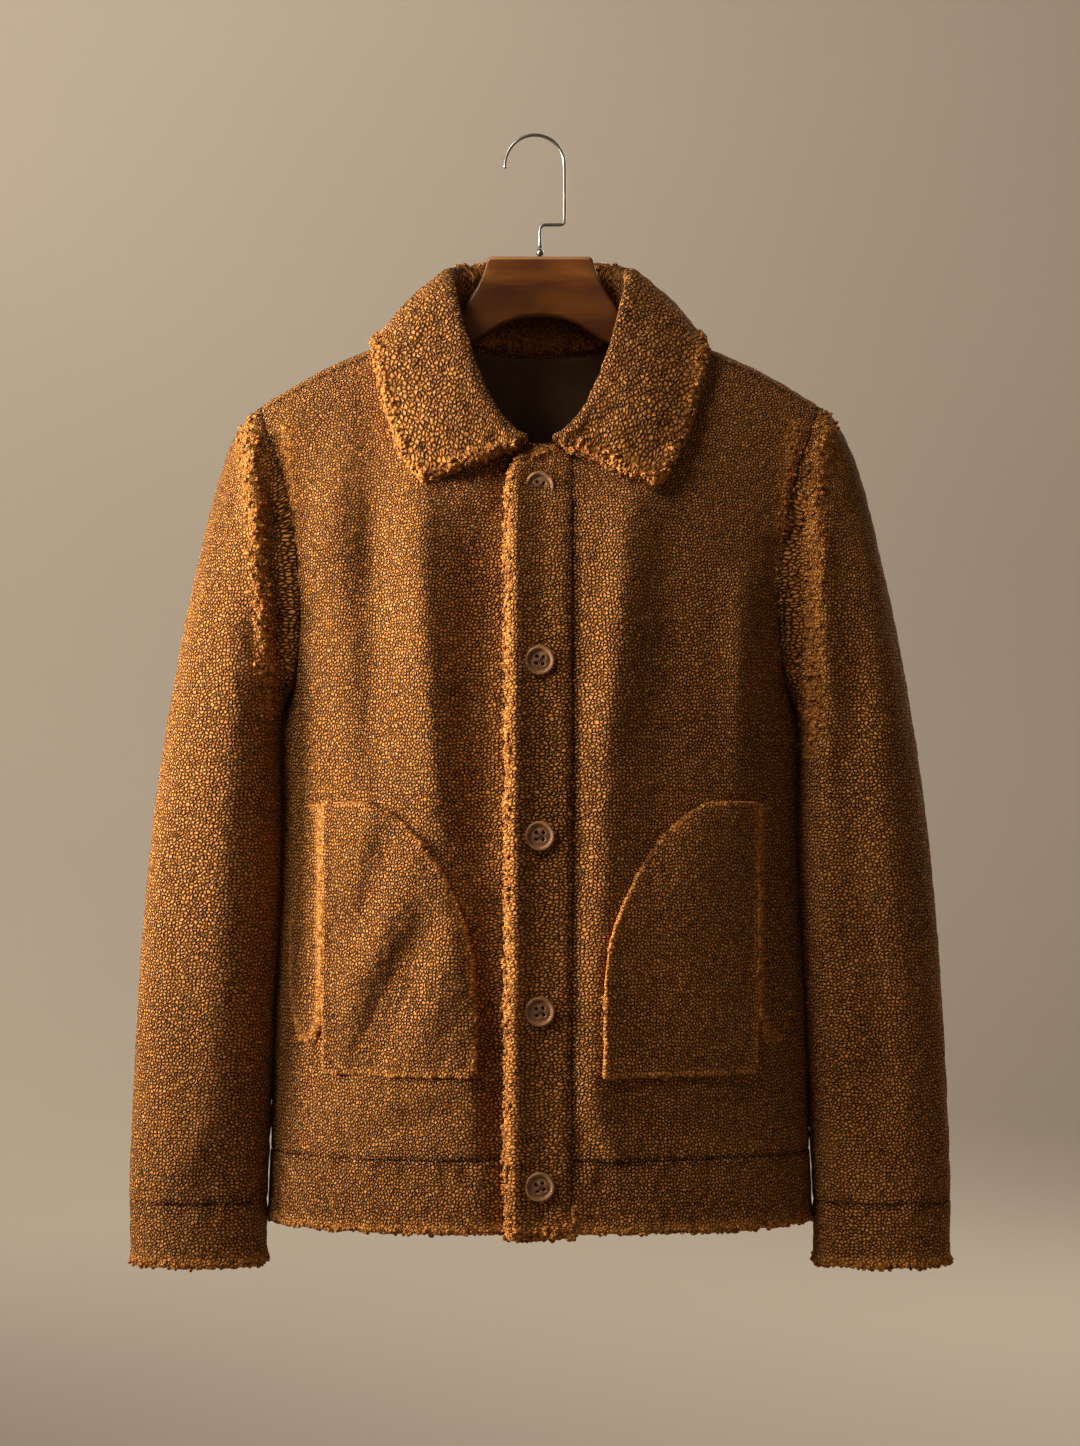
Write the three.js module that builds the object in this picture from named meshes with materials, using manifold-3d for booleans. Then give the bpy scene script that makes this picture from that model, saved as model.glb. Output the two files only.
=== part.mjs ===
// A buttoned fleece jacket hanging on a wooden hanger, in millimetres.
// X points to the right of a viewer who faces the jacket, Y points away from that viewer and Z points up.
// The origin is the lowest point of the rod that the hook hangs on, on the inside of the hook.
import * as THREE from "three";
import { mergeVertices } from "three/addons/utils/BufferGeometryUtils.js";
import Module from "manifold-3d";

// Driving dimensions
const fleeceWall = 4.5;
const seamGap = 0.3;
const seamPull = 0.18;
const neckHalfWidth = 80;
const neckSideZ = -141;
const neckFrontDepth = 100;
const shoulderSeamDrop = 6;
const shoulderTipX = 214;
const underarmZ = -445;
const hemSeamZ = -777;
const hemZ = -829;
const frontNeckPower = 2.2;
const bodyRoundness = 2.3;

const placketHalfWidth = 24;
const placketWall = 7;
const placketProud = 2;
const underlapEdgeX = 20;
const underlapDip = 6.4;
const dipStartX = 27;
const dipEndX = 46;

const pocketTopZ = -511;
const pocketBottomZ = -713;
const pocketInnerX = 48;
const pocketOpeningX = 161;
const pocketSideX = 186;
const pocketCornerX = 128;
const pocketCornerZ = -640;
const pocketCornerPower = 1.6;
const pocketWall = 4.6;
const patchSteps = 10;
const weltWall = 3.2;
const weltBottomZ = -690;

const collarWall = 6.5;
const collarTurn = 4.4;
const collarRest = 1.3;
const collarSteps = 14;

const cuffWall = 5.5;
const liningWall = 1.5;
const liningBottomZ = -262;
const liningHalfWidth = 66;

const buttonRadius = 11.5;
const buttonThickness = 3.8;
const buttonHoleRadius = 1.3;
const buttonHoleReach = 2.7;
const buttonTopZ = -275;
const buttonSpacing = 129.8;
const buttonCount = 5;

const hangerTopZ = -92.4;
const hangerEndX = 203;
const wireRadius = 1.4;
const hookRadius = 23;
const hookCentreX = -4;
const hookOffsetX = 19;
const hookStepZ = -67.5;
const ferruleRadius = 3.2;

// Height of the shoulder crest along the shoulder
const crestRows = [
  { x: 80, z: -141 },
  { x: 122, z: -161 },
  { x: 151, z: -172.5 },
  { x: 180, z: -187 },
  { x: 214, z: -207 },
];

// How far the front and the back stand out, by the square root of the drop below the shoulder crest
const depthRows = [
  { root: 0, front: 0, back: 0 },
  { root: 2.65, front: 17.5, back: 17.5 },
  { root: 5.48, front: 33, back: 35 },
  { root: 7.75, front: 45, back: 49 },
  { root: 10.3, front: 62, back: 63 },
  { root: 13, front: 81, back: 74 },
  { root: 16.3, front: 93, back: 80 },
  { root: 20.5, front: 101, back: 85 },
  { root: 26.5, front: 98, back: 88 },
];

// Armhole seam above the underarm, side seam below it, and the width that rounds the front and back
const sideRows = [
  { z: -207, seamX: 214, roundX: 246 },
  { z: -235, seamX: 206, roundX: 240 },
  { z: -262, seamX: 195, roundX: 232 },
  { z: -300, seamX: 187, roundX: 222 },
  { z: -340, seamX: 182, roundX: 212 },
  { z: -385, seamX: 181, roundX: 204 },
  { z: -420, seamX: 186, roundX: 198 },
  { z: -445, seamX: 194.5, roundX: 194.5 },
  { z: -510, seamX: 191.5, roundX: 191.5 },
  { z: -590, seamX: 193, roundX: 193 },
  { z: -660, seamX: 198, roundX: 198 },
  { z: -740, seamX: 203, roundX: 203 },
  { z: -829, seamX: 207.5, roundX: 207.5 },
];

// Soft vertical folds: x at the top and bottom end, height of both ends, half-width and outward height
const foldRows = [
  { face: "front", topX: -145, bottomX: -162, topZ: -215, bottomZ: -370, width: 15, height: 5 },
  { face: "front", topX: -126, bottomX: -122, topZ: -240, bottomZ: -500, width: 13, height: -4 },
  { face: "front", topX: -93, bottomX: -76, topZ: -262, bottomZ: -560, width: 17, height: 4 },
  { face: "front", topX: -55, bottomX: -50, topZ: -300, bottomZ: -640, width: 13, height: -5 },
  { face: "front", topX: 67, bottomX: 40, topZ: -300, bottomZ: -770, width: 15, height: 5 },
  { face: "front", topX: 98, bottomX: 94, topZ: -280, bottomZ: -480, width: 16, height: -5 },
  { face: "front", topX: 141, bottomX: 134, topZ: -330, bottomZ: -500, width: 15, height: 4 },
  { face: "back", topX: -118, bottomX: -104, topZ: -300, bottomZ: -740, width: 20, height: 5 },
  { face: "back", topX: -52, bottomX: -60, topZ: -340, bottomZ: -760, width: 18, height: -5 },
  { face: "back", topX: 20, bottomX: 8, topZ: -380, bottomZ: -770, width: 20, height: 4 },
  { face: "back", topX: 84, bottomX: 70, topZ: -300, bottomZ: -700, width: 18, height: -5 },
  { face: "back", topX: 134, bottomX: 128, topZ: -320, bottomZ: -740, width: 18, height: 5 },
];

// Sleeve rings from the shoulder tip to the cuff's edge: outermost and innermost point, half-depth, centre
const sleeveRows = [
  { step: 0, outerX: 214, outerZ: -207, innerX: 194.5, innerZ: -445, depth: 46, centreY: 0 },
  { step: 1, outerX: 227, outerZ: -219, innerX: 196.4, innerZ: -449, depth: 49, centreY: 0 },
  { step: 2, outerX: 237, outerZ: -235, innerX: 197.6, innerZ: -453, depth: 51.5, centreY: 0 },
  { step: 4, outerX: 249.5, outerZ: -273, innerX: 198.2, innerZ: -462, depth: 55, centreY: 0 },
  { step: 6, outerX: 265, outerZ: -340, innerX: 198, innerZ: -474, depth: 58, centreY: -1 },
  { step: 8, outerX: 281, outerZ: -424, innerX: 197, innerZ: -492, depth: 58, centreY: -3 },
  { step: 10, outerX: 295, outerZ: -518, innerX: 196.8, innerZ: -541, depth: 55, centreY: -6 },
  { step: 12, outerX: 304.8, outerZ: -622, innerX: 200, innerZ: -622, depth: 50, centreY: -10 },
  { step: 14, outerX: 310, outerZ: -722, innerX: 206, innerZ: -722, depth: 43, centreY: -14 },
  { step: 16, outerX: 313.4, outerZ: -815, innerX: 210.4, innerZ: -815, depth: 38, centreY: -17.5 },
  { step: 17, outerX: 311.8, outerZ: -861, innerX: 211, innerZ: -861, depth: 36.5, centreY: -18.5 },
];

// Crease between the armhole seam and the front of the sleeve, and the ridge beside it
const creaseRows = [
  { z: -225, creaseX: 214, ridgeX: 226, depth: 2 },
  { z: -270, creaseX: 203, ridgeX: 220, depth: 7 },
  { z: -330, creaseX: 200, ridgeX: 217, depth: 12 },
  { z: -400, creaseX: 200, ridgeX: 217, depth: 11 },
  { z: -450, creaseX: 203, ridgeX: 217, depth: 4 },
  { z: -500, creaseX: 203, ridgeX: 217, depth: 0 },
];

// Half collar from the centre back to the front corner: neckline place, top of the roll, outer edge
const collarRows = [
  { neck: 0, rollX: 0, rollY: 30, rollZ: -97, edgeX: 0, edgeY: 44, edgeZ: -176 },
  { neck: 1, rollX: 42, rollY: 26, rollZ: -97.5, edgeX: 60, edgeY: 44, edgeZ: -177 },
  { neck: 1.7, rollX: 64, rollY: 12, rollZ: -99, edgeX: 104, edgeY: 32, edgeZ: -176 },
  { neck: 2.3, rollX: 70, rollY: -8, rollZ: -103, edgeX: 122, edgeY: 0, edgeZ: -158 },
  { neck: 2.8, rollX: 66, rollY: -26, rollZ: -122, edgeX: 121, edgeY: -32, edgeZ: -184 },
  { neck: 3.5, rollX: 54, rollY: -46, rollZ: -168, edgeX: 111, edgeY: -50, edgeZ: -222 },
  { neck: 4.3, rollX: 36, rollY: -62, rollZ: -212, edgeX: 101, edgeY: -62, edgeZ: -250 },
  { neck: 5, rollX: 14, rollY: -74, rollZ: -240, edgeX: 88, edgeY: -70, edgeZ: -268 },
];

// Half hanger from the middle to the end: top edge before the arm follows the shoulder, and underside
const hangerRows = [
  { x: 0, top: -92.4, bottom: -138.7, halfThickness: 9, crown: 60 },
  { x: 16, top: -92.4, bottom: -140.4, halfThickness: 9, crown: 60 },
  { x: 29, top: -92.4, bottom: -145.5, halfThickness: 9, crown: 60 },
  { x: 38.5, top: -92.4, bottom: -151.5, halfThickness: 9, crown: 60 },
  { x: 40.5, top: -94.5, bottom: -152.8, halfThickness: 9, crown: 50 },
  { x: 43, top: -104, bottom: -154.4, halfThickness: 9, crown: 40 },
  { x: 48, top: -114.5, bottom: -157.2, halfThickness: 9, crown: 30 },
  { x: 56, top: -127, bottom: -161.2, halfThickness: 9, crown: 20 },
  { x: 63, top: -138, bottom: -165.4, halfThickness: 8.4, crown: 9 },
  { x: 67, top: -146.4, bottom: -167.5, halfThickness: 8.4, crown: 8.5 },
  { x: 71, top: -148, bottom: -169.4, halfThickness: 9, crown: 10 },
  { x: 80, top: -149.3, bottom: -173.6, halfThickness: 9.2, crown: 9 },
];

const wasm = await Module();
wasm.setup();

// Smooth monotone curve through the rows of a table, from one column to another
function curveThrough(rows, inputName, outputName) {
  const inputs = rows.map((row) => row[inputName]);
  const outputs = rows.map((row) => row[outputName]);
  if (inputs[0] > inputs[inputs.length - 1]) {
    inputs.reverse();
    outputs.reverse();
  }
  const slopes = [];
  for (let i = 0; i < inputs.length - 1; i++) {
    slopes.push((outputs[i + 1] - outputs[i]) / (inputs[i + 1] - inputs[i]));
  }
  const tangents = inputs.map((_, i) => {
    if (i === 0) return slopes[0];
    if (i === inputs.length - 1) return slopes[i - 1];
    if (slopes[i - 1] * slopes[i] <= 0) return 0;
    return (2 * slopes[i - 1] * slopes[i]) / (slopes[i - 1] + slopes[i]);
  });
  return (value) => {
    if (value <= inputs[0]) return outputs[0] + (value - inputs[0]) * tangents[0];
    const last = inputs.length - 1;
    if (value >= inputs[last]) return outputs[last] + (value - inputs[last]) * tangents[last];
    let i = 0;
    while (value > inputs[i + 1]) i++;
    const span = inputs[i + 1] - inputs[i];
    const t = (value - inputs[i]) / span;
    const rise = t * t * (3 - 2 * t);
    return (
      outputs[i] * (1 - rise) +
      outputs[i + 1] * rise +
      span * t * (1 - t) * ((1 - t) * tangents[i] - t * tangents[i + 1])
    );
  };
}

function smooth(value) {
  const t = Math.min(1, Math.max(0, value));
  return t * t * (3 - 2 * t);
}

function bump(distance, width) {
  return Math.exp(-((distance / width) ** 2));
}

// The body's form
const crestAt = curveThrough(crestRows, "x", "z");
const frontDepthAt = curveThrough(depthRows, "root", "front");
const backDepthAt = curveThrough(depthRows, "root", "back");
const seamXAt = curveThrough(sideRows, "z", "seamX");
const roundXAt = curveThrough(sideRows, "z", "roundX");

function crestZ(x) {
  const reach = Math.abs(x);
  return reach < neckHalfWidth ? neckSideZ : crestAt(reach);
}

function foldHeight(face, x, z) {
  let height = 0;
  for (const fold of foldRows) {
    if (fold.face !== face) continue;
    const along = (z - fold.topZ) / (fold.bottomZ - fold.topZ);
    if (along <= 0 || along >= 1) continue;
    const middleX = THREE.MathUtils.lerp(fold.topX, fold.bottomX, along);
    const fade = smooth(along / 0.3) * smooth((1 - along) / 0.3);
    height += fold.height * fade * bump(x - middleX, fold.width);
  }
  return height * smooth((roundXAt(z) - Math.abs(x)) / 25);
}

// Outer surface of the front or the back
function surfacePoint(face, x, z) {
  const drop = Math.max(0, crestZ(x) - z);
  const depthAt = face === "front" ? frontDepthAt : backDepthAt;
  const ratio = Math.min(1, Math.abs(x) / roundXAt(z));
  const rounding = (1 - ratio ** bodyRoundness) ** (1 / bodyRoundness);
  const share = 1 - (1 - rounding) * smooth(drop / 90);
  const depth = depthAt(Math.sqrt(drop)) * share + foldHeight(face, x, z);
  return new THREE.Vector3(x, face === "front" ? -depth : depth, z);
}

function surfaceNormal(face, x, z) {
  const reach = 0.5;
  const alongX = surfacePoint(face, x + reach, z).sub(surfacePoint(face, x - reach, z));
  const alongZ = surfacePoint(face, x, z + reach).sub(surfacePoint(face, x, z - reach));
  const normal = alongX.cross(alongZ).normalize();
  return face === "front" ? normal : normal.negate();
}

function raised(face, x, z, height) {
  return surfacePoint(face, x, z).addScaledVector(surfaceNormal(face, x, z), height);
}

function frontNeckZ(x) {
  const ratio = Math.min(1, Math.abs(x) / neckHalfWidth);
  const cornerZ = neckSideZ - shoulderSeamDrop;
  const scoop = (1 - ratio ** frontNeckPower) ** (1 / frontNeckPower);
  return cornerZ - (neckFrontDepth - shoulderSeamDrop) * scoop;
}

// Signed root of the drop along the back neckline: below zero it lies in front of the crest
const seamRoot = -Math.sqrt(shoulderSeamDrop);
const backNeckRoot = 4.47;
function backNeckStart(x) {
  const ratio = Math.min(1, Math.abs(x) / neckHalfWidth);
  return seamRoot + (backNeckRoot - seamRoot) * Math.sqrt(1 - ratio ** 4);
}

// A point over the shoulder: a root below zero is on the front of the crest, above zero on the back
function overShoulder(x, root) {
  return surfacePoint(root < 0 ? "front" : "back", x, crestZ(x) - root * root);
}

// Grids of the panels' outer points: rows run down, columns run across
const armholeRows = 12;
const lowerRows = 8;
const shoulderColumns = 6;
const neckColumns = 4;
const shoulderBackRows = 1;

function topPlaces(startX, steps) {
  const places = [];
  const startAngle = Math.acos((startX / neckHalfWidth) ** (frontNeckPower / 2));
  for (let i = 0; i <= steps; i++) {
    places.push(neckHalfWidth * Math.cos(startAngle * (1 - i / steps)) ** (2 / frontNeckPower));
  }
  for (let i = 1; i <= shoulderColumns; i++) {
    places.push(neckHalfWidth + ((shoulderTipX - neckHalfWidth) * i) / shoulderColumns);
  }
  return places;
}

function spreadPlaces(startX, count, edgeX) {
  const places = [];
  for (let i = 0; i < count; i++) {
    const share = Math.sin(((i / (count - 1)) * Math.PI) / 2) ** 0.9;
    places.push(startX + (edgeX - startX) * share);
  }
  return places;
}

function underlapDrop(side, x) {
  if (side > 0) return 0;
  return underlapDip * smooth((dipEndX + x) / (dipEndX - dipStartX));
}

// Left is +1 and right is -1, as the wearer's; the right front runs on under the button band
function frontGrid(side) {
  const flatPlaces = side > 0 ? [] : [-underlapEdgeX, 3, dipStartX, (dipStartX + dipEndX) / 2];
  const fanStart = side > 0 ? placketHalfWidth : dipEndX;
  const steps = side > 0 ? neckColumns : neckColumns - 1;
  const atTop = topPlaces(fanStart, steps);
  const grid = [];
  for (let row = 0; row <= armholeRows + lowerRows; row++) {
    const toUnderarm = Math.min(1, row / armholeRows);
    const below = Math.max(0, (row - armholeRows) / lowerRows);
    const tipRoot = Math.sqrt(shoulderSeamDrop);
    const heightAt = (x) => {
      const startZ = x < neckHalfWidth ? frontNeckZ(x) : crestZ(x) - shoulderSeamDrop;
      const startRoot = x < neckHalfWidth ? Math.sqrt(crestZ(x) - startZ) : tipRoot;
      const endRoot = Math.sqrt(crestZ(x) - underarmZ);
      const root = startRoot + (endRoot - startRoot) * toUnderarm;
      const share = (root ** 2 - startRoot ** 2) / (endRoot ** 2 - startRoot ** 2);
      return startZ + (underarmZ - startZ) * share + (hemSeamZ - underarmZ) * below;
    };
    const edgeX = row === 0 ? shoulderTipX : seamXAt(heightAt(shoulderTipX));
    const spread = spreadPlaces(fanStart, atTop.length, edgeX);
    const places = atTop.map((top, i) => {
      const scaledTop = fanStart + ((top - fanStart) * (edgeX - fanStart)) / (shoulderTipX - fanStart);
      return {
        x: THREE.MathUtils.lerp(scaledTop, spread[i], smooth(toUnderarm)),
        z: heightAt(top),
      };
    });
    const flats = flatPlaces.map((x) => ({ x, z: heightAt(Math.abs(x)) }));
    grid.push(
      [...flats, ...places].map((place) => {
        const point = surfacePoint("front", side * place.x, place.z);
        point.y += underlapDrop(side, side * place.x);
        return point;
      }),
    );
  }
  return grid;
}

function backGrid() {
  const count = neckColumns + 1 + shoulderColumns + 1;
  const half = [];
  for (let i = 0; i <= neckColumns + 1; i++) {
    half.push(neckHalfWidth * Math.sin(((i / (neckColumns + 1)) * Math.PI) / 2) ** 0.95);
  }
  for (let i = 1; i <= shoulderColumns; i++) {
    half.push(neckHalfWidth + ((shoulderTipX - neckHalfWidth) * i) / shoulderColumns);
  }
  const rows = armholeRows + shoulderBackRows;
  const grid = [];
  for (let row = 0; row <= rows + lowerRows; row++) {
    const toUnderarm = Math.min(1, row / rows);
    const below = Math.max(0, (row - rows) / lowerRows);
    const rootAt = (top) => {
      const startRoot = top < neckHalfWidth ? backNeckStart(top) : seamRoot;
      return startRoot + (Math.sqrt(crestZ(top) - underarmZ) - startRoot) * toUnderarm;
    };
    const tipZ = crestZ(shoulderTipX) - rootAt(shoulderTipX) ** 2 + (hemSeamZ - underarmZ) * below;
    const edgeX = row === 0 ? shoulderTipX : seamXAt(tipZ);
    const spread = spreadPlaces(0, count, edgeX);
    const points = half.map((top, i) => {
      const scaledTop = (top * edgeX) / shoulderTipX;
      const x = row === 0 ? top : THREE.MathUtils.lerp(scaledTop, spread[i], smooth(toUnderarm));
      const root = rootAt(top);
      if (root < 0) return overShoulder(x, root);
      const z = crestZ(top) - root ** 2 + (hemSeamZ - underarmZ) * below;
      return surfacePoint("back", x, z);
    });
    const mirrored = half.map((top, i) => {
      const x = points[i].x;
      const root = rootAt(top);
      return root < 0 ? overShoulder(-x, root) : surfacePoint("back", -x, points[i].z);
    });
    grid.push([...mirrored.slice(1).reverse(), ...points]);
  }
  return grid;
}

// Sleeves
const sleeveSteps = 16;
const sleeveAt = {};
for (const name of ["outerX", "outerZ", "innerX", "innerZ", "depth", "centreY"]) {
  sleeveAt[name] = curveThrough(sleeveRows, "step", name);
}
const creaseAt = {};
for (const name of ["creaseX", "ridgeX", "depth"]) {
  creaseAt[name] = curveThrough(creaseRows, "z", name);
}

function sleeveRingPoint(side, step, angle) {
  const outer = new THREE.Vector3(sleeveAt.outerX(step), 0, sleeveAt.outerZ(step));
  const inner = new THREE.Vector3(sleeveAt.innerX(step), 0, sleeveAt.innerZ(step));
  const roundness = 2 / 2.2;
  const across = Math.sign(Math.cos(angle)) * Math.abs(Math.cos(angle)) ** roundness;
  const forward = Math.sign(Math.sin(angle)) * Math.abs(Math.sin(angle)) ** roundness;
  const point = outer.clone().lerp(inner, (1 - across) / 2);
  point.y = sleeveAt.centreY(step) - sleeveAt.depth(step) * forward;
  point.x *= side;
  return point;
}

// Angle of each sample round the armhole: zero at the shoulder seam, half a turn at the underarm
function armholeAngles(loop, underarmIndex) {
  const lengths = [0];
  for (let i = 1; i <= loop.length; i++) {
    lengths.push(lengths[i - 1] + loop[i - 1].distanceTo(loop[i % loop.length]));
  }
  const half = lengths[underarmIndex];
  const total = lengths[loop.length];
  return loop.map((_, i) => {
    if (i <= underarmIndex) return (Math.PI * lengths[i]) / half;
    return Math.PI + (Math.PI * (lengths[i] - half)) / (total - half);
  });
}

function sleeveGrid(side, loop, angles) {
  const grid = [loop.map((point) => point.clone())];
  for (let step = 1; step <= sleeveSteps; step++) {
    const hold = 1 - smooth(step / 7);
    grid.push(
      loop.map((seamPoint, i) => {
        const point = sleeveRingPoint(side, step, angles[i]);
        const start = sleeveRingPoint(side, 0, angles[i]);
        point.addScaledVector(seamPoint.clone().sub(start), hold);
        if (point.y < 0 && point.z > -500) {
          const reach = Math.abs(point.x);
          const depth = Math.max(0, creaseAt.depth(point.z));
          point.y += depth * bump(reach - creaseAt.creaseX(point.z), 9);
          point.y -= 0.35 * depth * bump(reach - creaseAt.ridgeX(point.z), 9);
        }
        return point;
      }),
    );
  }
  return grid;
}

function cuffGrid(side, angles) {
  const rows = [sleeveSteps, sleeveSteps + 0.5, sleeveSteps + 1];
  return rows.map((step) => angles.map((angle) => sleeveRingPoint(side, step, angle)));
}

// The hem band continues the lower edge of both fronts and the back
function hemGrid(frontLeft, back, frontRight) {
  const last = (grid) => grid[grid.length - 1];
  const leftEdge = last(frontLeft).map((point) => ({ face: "front", side: 1, point }));
  const backEdge = last(back).map((point) => ({ face: "back", side: 0, point }));
  const rightEdge = last(frontRight).map((point) => ({ face: "front", side: -1, point }));
  const edge = [...leftEdge, ...backEdge.reverse().slice(1, -1), ...rightEdge.reverse()];
  const grid = [edge.map((entry) => entry.point.clone())];
  for (const share of [0.12, 0.55, 1]) {
    const z = THREE.MathUtils.lerp(hemSeamZ, hemZ, share);
    const widening = seamXAt(z) / seamXAt(hemSeamZ);
    grid.push(
      edge.map((entry) => {
        const reach = Math.abs(entry.point.x);
        const growth = reach > dipEndX ? widening : 1;
        const x = entry.point.x * THREE.MathUtils.lerp(1, growth, smooth((reach - dipEndX) / 80));
        const point = surfacePoint(entry.face, x, z);
        if (entry.side < 0) point.y += underlapDrop(entry.side, x);
        return point;
      }),
    );
  }
  return grid;
}

// Normals shared by all the grids, so that panels meet in one mitred wall at each seam
function pointKey(point) {
  return [point.x, point.y, point.z].map((value) => Math.round(value * 50)).join(" ");
}

function shareNormals(grids) {
  const sums = new Map();
  const add = (point, normal) => {
    const key = pointKey(point);
    if (!sums.has(key)) sums.set(key, new THREE.Vector3());
    sums.get(key).add(normal);
  };
  for (const { points, flip, closed } of grids) {
    for (let row = 0; row < points.length - 1; row++) {
      const columns = points[row].length;
      for (let i = 0; i < (closed ? columns : columns - 1); i++) {
        const j = (i + 1) % columns;
        const corners = [points[row][i], points[row][j], points[row + 1][j], points[row + 1][i]];
        const acrossFirst = corners[2].clone().sub(corners[0]);
        const acrossSecond = corners[3].clone().sub(corners[1]);
        const normal = acrossFirst.cross(acrossSecond);
        if (flip) normal.negate();
        corners.forEach((corner) => add(corner, normal));
      }
    }
  }
  return (point) => sums.get(pointKey(point)).clone().normalize();
}

// Closed wall between an outer and an inner grid; a closed grid joins its last column to its first
function wallBetween(outer, inner, closed) {
  const rows = outer.length;
  const columns = outer[0].length;
  const outerPoints = outer.flat();
  const positions = [...outerPoints, ...inner.flat()].flatMap((point) => [point.x, point.y, point.z]);
  const innerStart = rows * columns;
  const index = [];
  const quad = (a, b, c, d) => index.push(a, b, c, a, c, d);
  const spans = closed ? columns : columns - 1;
  for (let row = 0; row < rows - 1; row++) {
    for (let i = 0; i < spans; i++) {
      const a = row * columns + i;
      const b = row * columns + ((i + 1) % columns);
      const down = outerPoints[a].distanceTo(outerPoints[b + columns]);
      const up = outerPoints[b].distanceTo(outerPoints[a + columns]);
      const first = down < up + 1e-3 ? [a, b, b + columns, a + columns] : [b, b + columns, a + columns, a];
      quad(...first);
      quad(...first.reverse().map((corner) => innerStart + corner));
    }
  }
  // Both pieces at a seam split their twisted edge faces along the same diagonal
  const order = (i) => outerPoints[i].z + 0.37 * Math.abs(outerPoints[i].x) + 0.11 * outerPoints[i].y;
  const rim = (a, b) => {
    const innerA = innerStart + a;
    const innerB = innerStart + b;
    if (order(a) > order(b)) index.push(b, a, innerB, a, innerA, innerB);
    else index.push(b, a, innerA, b, innerA, innerB);
  };
  for (let i = 0; i < spans; i++) {
    const j = (i + 1) % columns;
    rim(i, j);
    rim((rows - 1) * columns + j, (rows - 1) * columns + i);
  }
  if (!closed) {
    for (let row = 0; row < rows - 1; row++) {
      rim((row + 1) * columns, row * columns);
      rim(row * columns + columns - 1, (row + 1) * columns + columns - 1);
    }
  }
  return solidGeometry(positions, index);
}

function solidGeometry(positions, index) {
  const signedVolume = (order) => {
    const corner = (i) => new THREE.Vector3().fromArray(positions, 3 * order[i]);
    let volume = 0;
    for (let i = 0; i < order.length; i += 3) {
      volume += corner(i).dot(corner(i + 1).cross(corner(i + 2)));
    }
    return volume;
  };
  const outward = signedVolume(index) > 0 ? index : index.slice().reverse();
  const geometry = new THREE.BufferGeometry();
  geometry.setAttribute("position", new THREE.Float32BufferAttribute(positions, 3));
  geometry.setIndex(outward);
  return geometry;
}

// Each edge of a piece steps back a little, so that two pieces leave a fine gap at their seam
function pulledBack(outer, inner, closed) {
  const rows = outer.length;
  const columns = outer[0].length;
  // The step is square to the edge, which runs between the two neighbours on it
  const move = (row, i, inwards, before, after) => {
    const along = after.clone().sub(before).normalize();
    const step = inwards.clone().sub(outer[row][i]);
    step.addScaledVector(along, -step.dot(along)).setLength(seamPull);
    return [row, i, step];
  };
  const wrap = (i) => (closed ? (i + columns) % columns : Math.min(columns - 1, Math.max(0, i)));
  const moves = [];
  for (let i = 0; i < columns; i++) {
    for (const [row, next] of [[0, 1], [rows - 1, rows - 2]]) {
      moves.push(move(row, i, outer[next][i], outer[row][wrap(i - 1)], outer[row][wrap(i + 1)]));
    }
  }
  if (!closed) {
    for (let row = 0; row < rows; row++) {
      const above = outer[Math.max(0, row - 1)];
      const below = outer[Math.min(rows - 1, row + 1)];
      for (const [i, next] of [[0, 1], [columns - 1, columns - 2]]) {
        moves.push(move(row, i, outer[row][next], above[i], below[i]));
      }
    }
  }
  const shiftedOuter = outer.map((line) => line.map((point) => point.clone()));
  const shiftedInner = inner.map((line) => line.map((point) => point.clone()));
  for (const [row, i, step] of moves) {
    shiftedOuter[row][i].add(step);
    shiftedInner[row][i].add(step);
  }
  return [shiftedOuter, shiftedInner];
}

function panelWall(points, normalAt, thickness, closed = false) {
  const inner = points.map((line) => {
    return line.map((point) => point.clone().addScaledVector(normalAt(point), -thickness));
  });
  return wallBetween(...pulledBack(points, inner, closed), closed);
}

const materials = {
  fleece: new THREE.MeshStandardMaterial({ color: 0x9a5a24, roughness: 0.95, metalness: 0 }),
  lining: new THREE.MeshStandardMaterial({ color: 0x4a3620, roughness: 0.85, metalness: 0 }),
  button: new THREE.MeshStandardMaterial({ color: 0x6b4326, roughness: 0.4, metalness: 0 }),
  wood: new THREE.MeshStandardMaterial({ color: 0x7a3f17, roughness: 0.35, metalness: 0 }),
  steel: new THREE.MeshStandardMaterial({ color: 0xa8a6a2, roughness: 0.3, metalness: 1 }),
};

const jacket = new THREE.Group();

function addPiece(name, geometry, material) {
  const mesh = new THREE.Mesh(geometry, material);
  mesh.name = name;
  jacket.add(mesh);
  return mesh;
}

// Body panels, sleeves, cuffs and hem band, with one set of normals over all their seams
const sides = [
  { word: "left", side: 1 },
  { word: "right", side: -1 },
];

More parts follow.
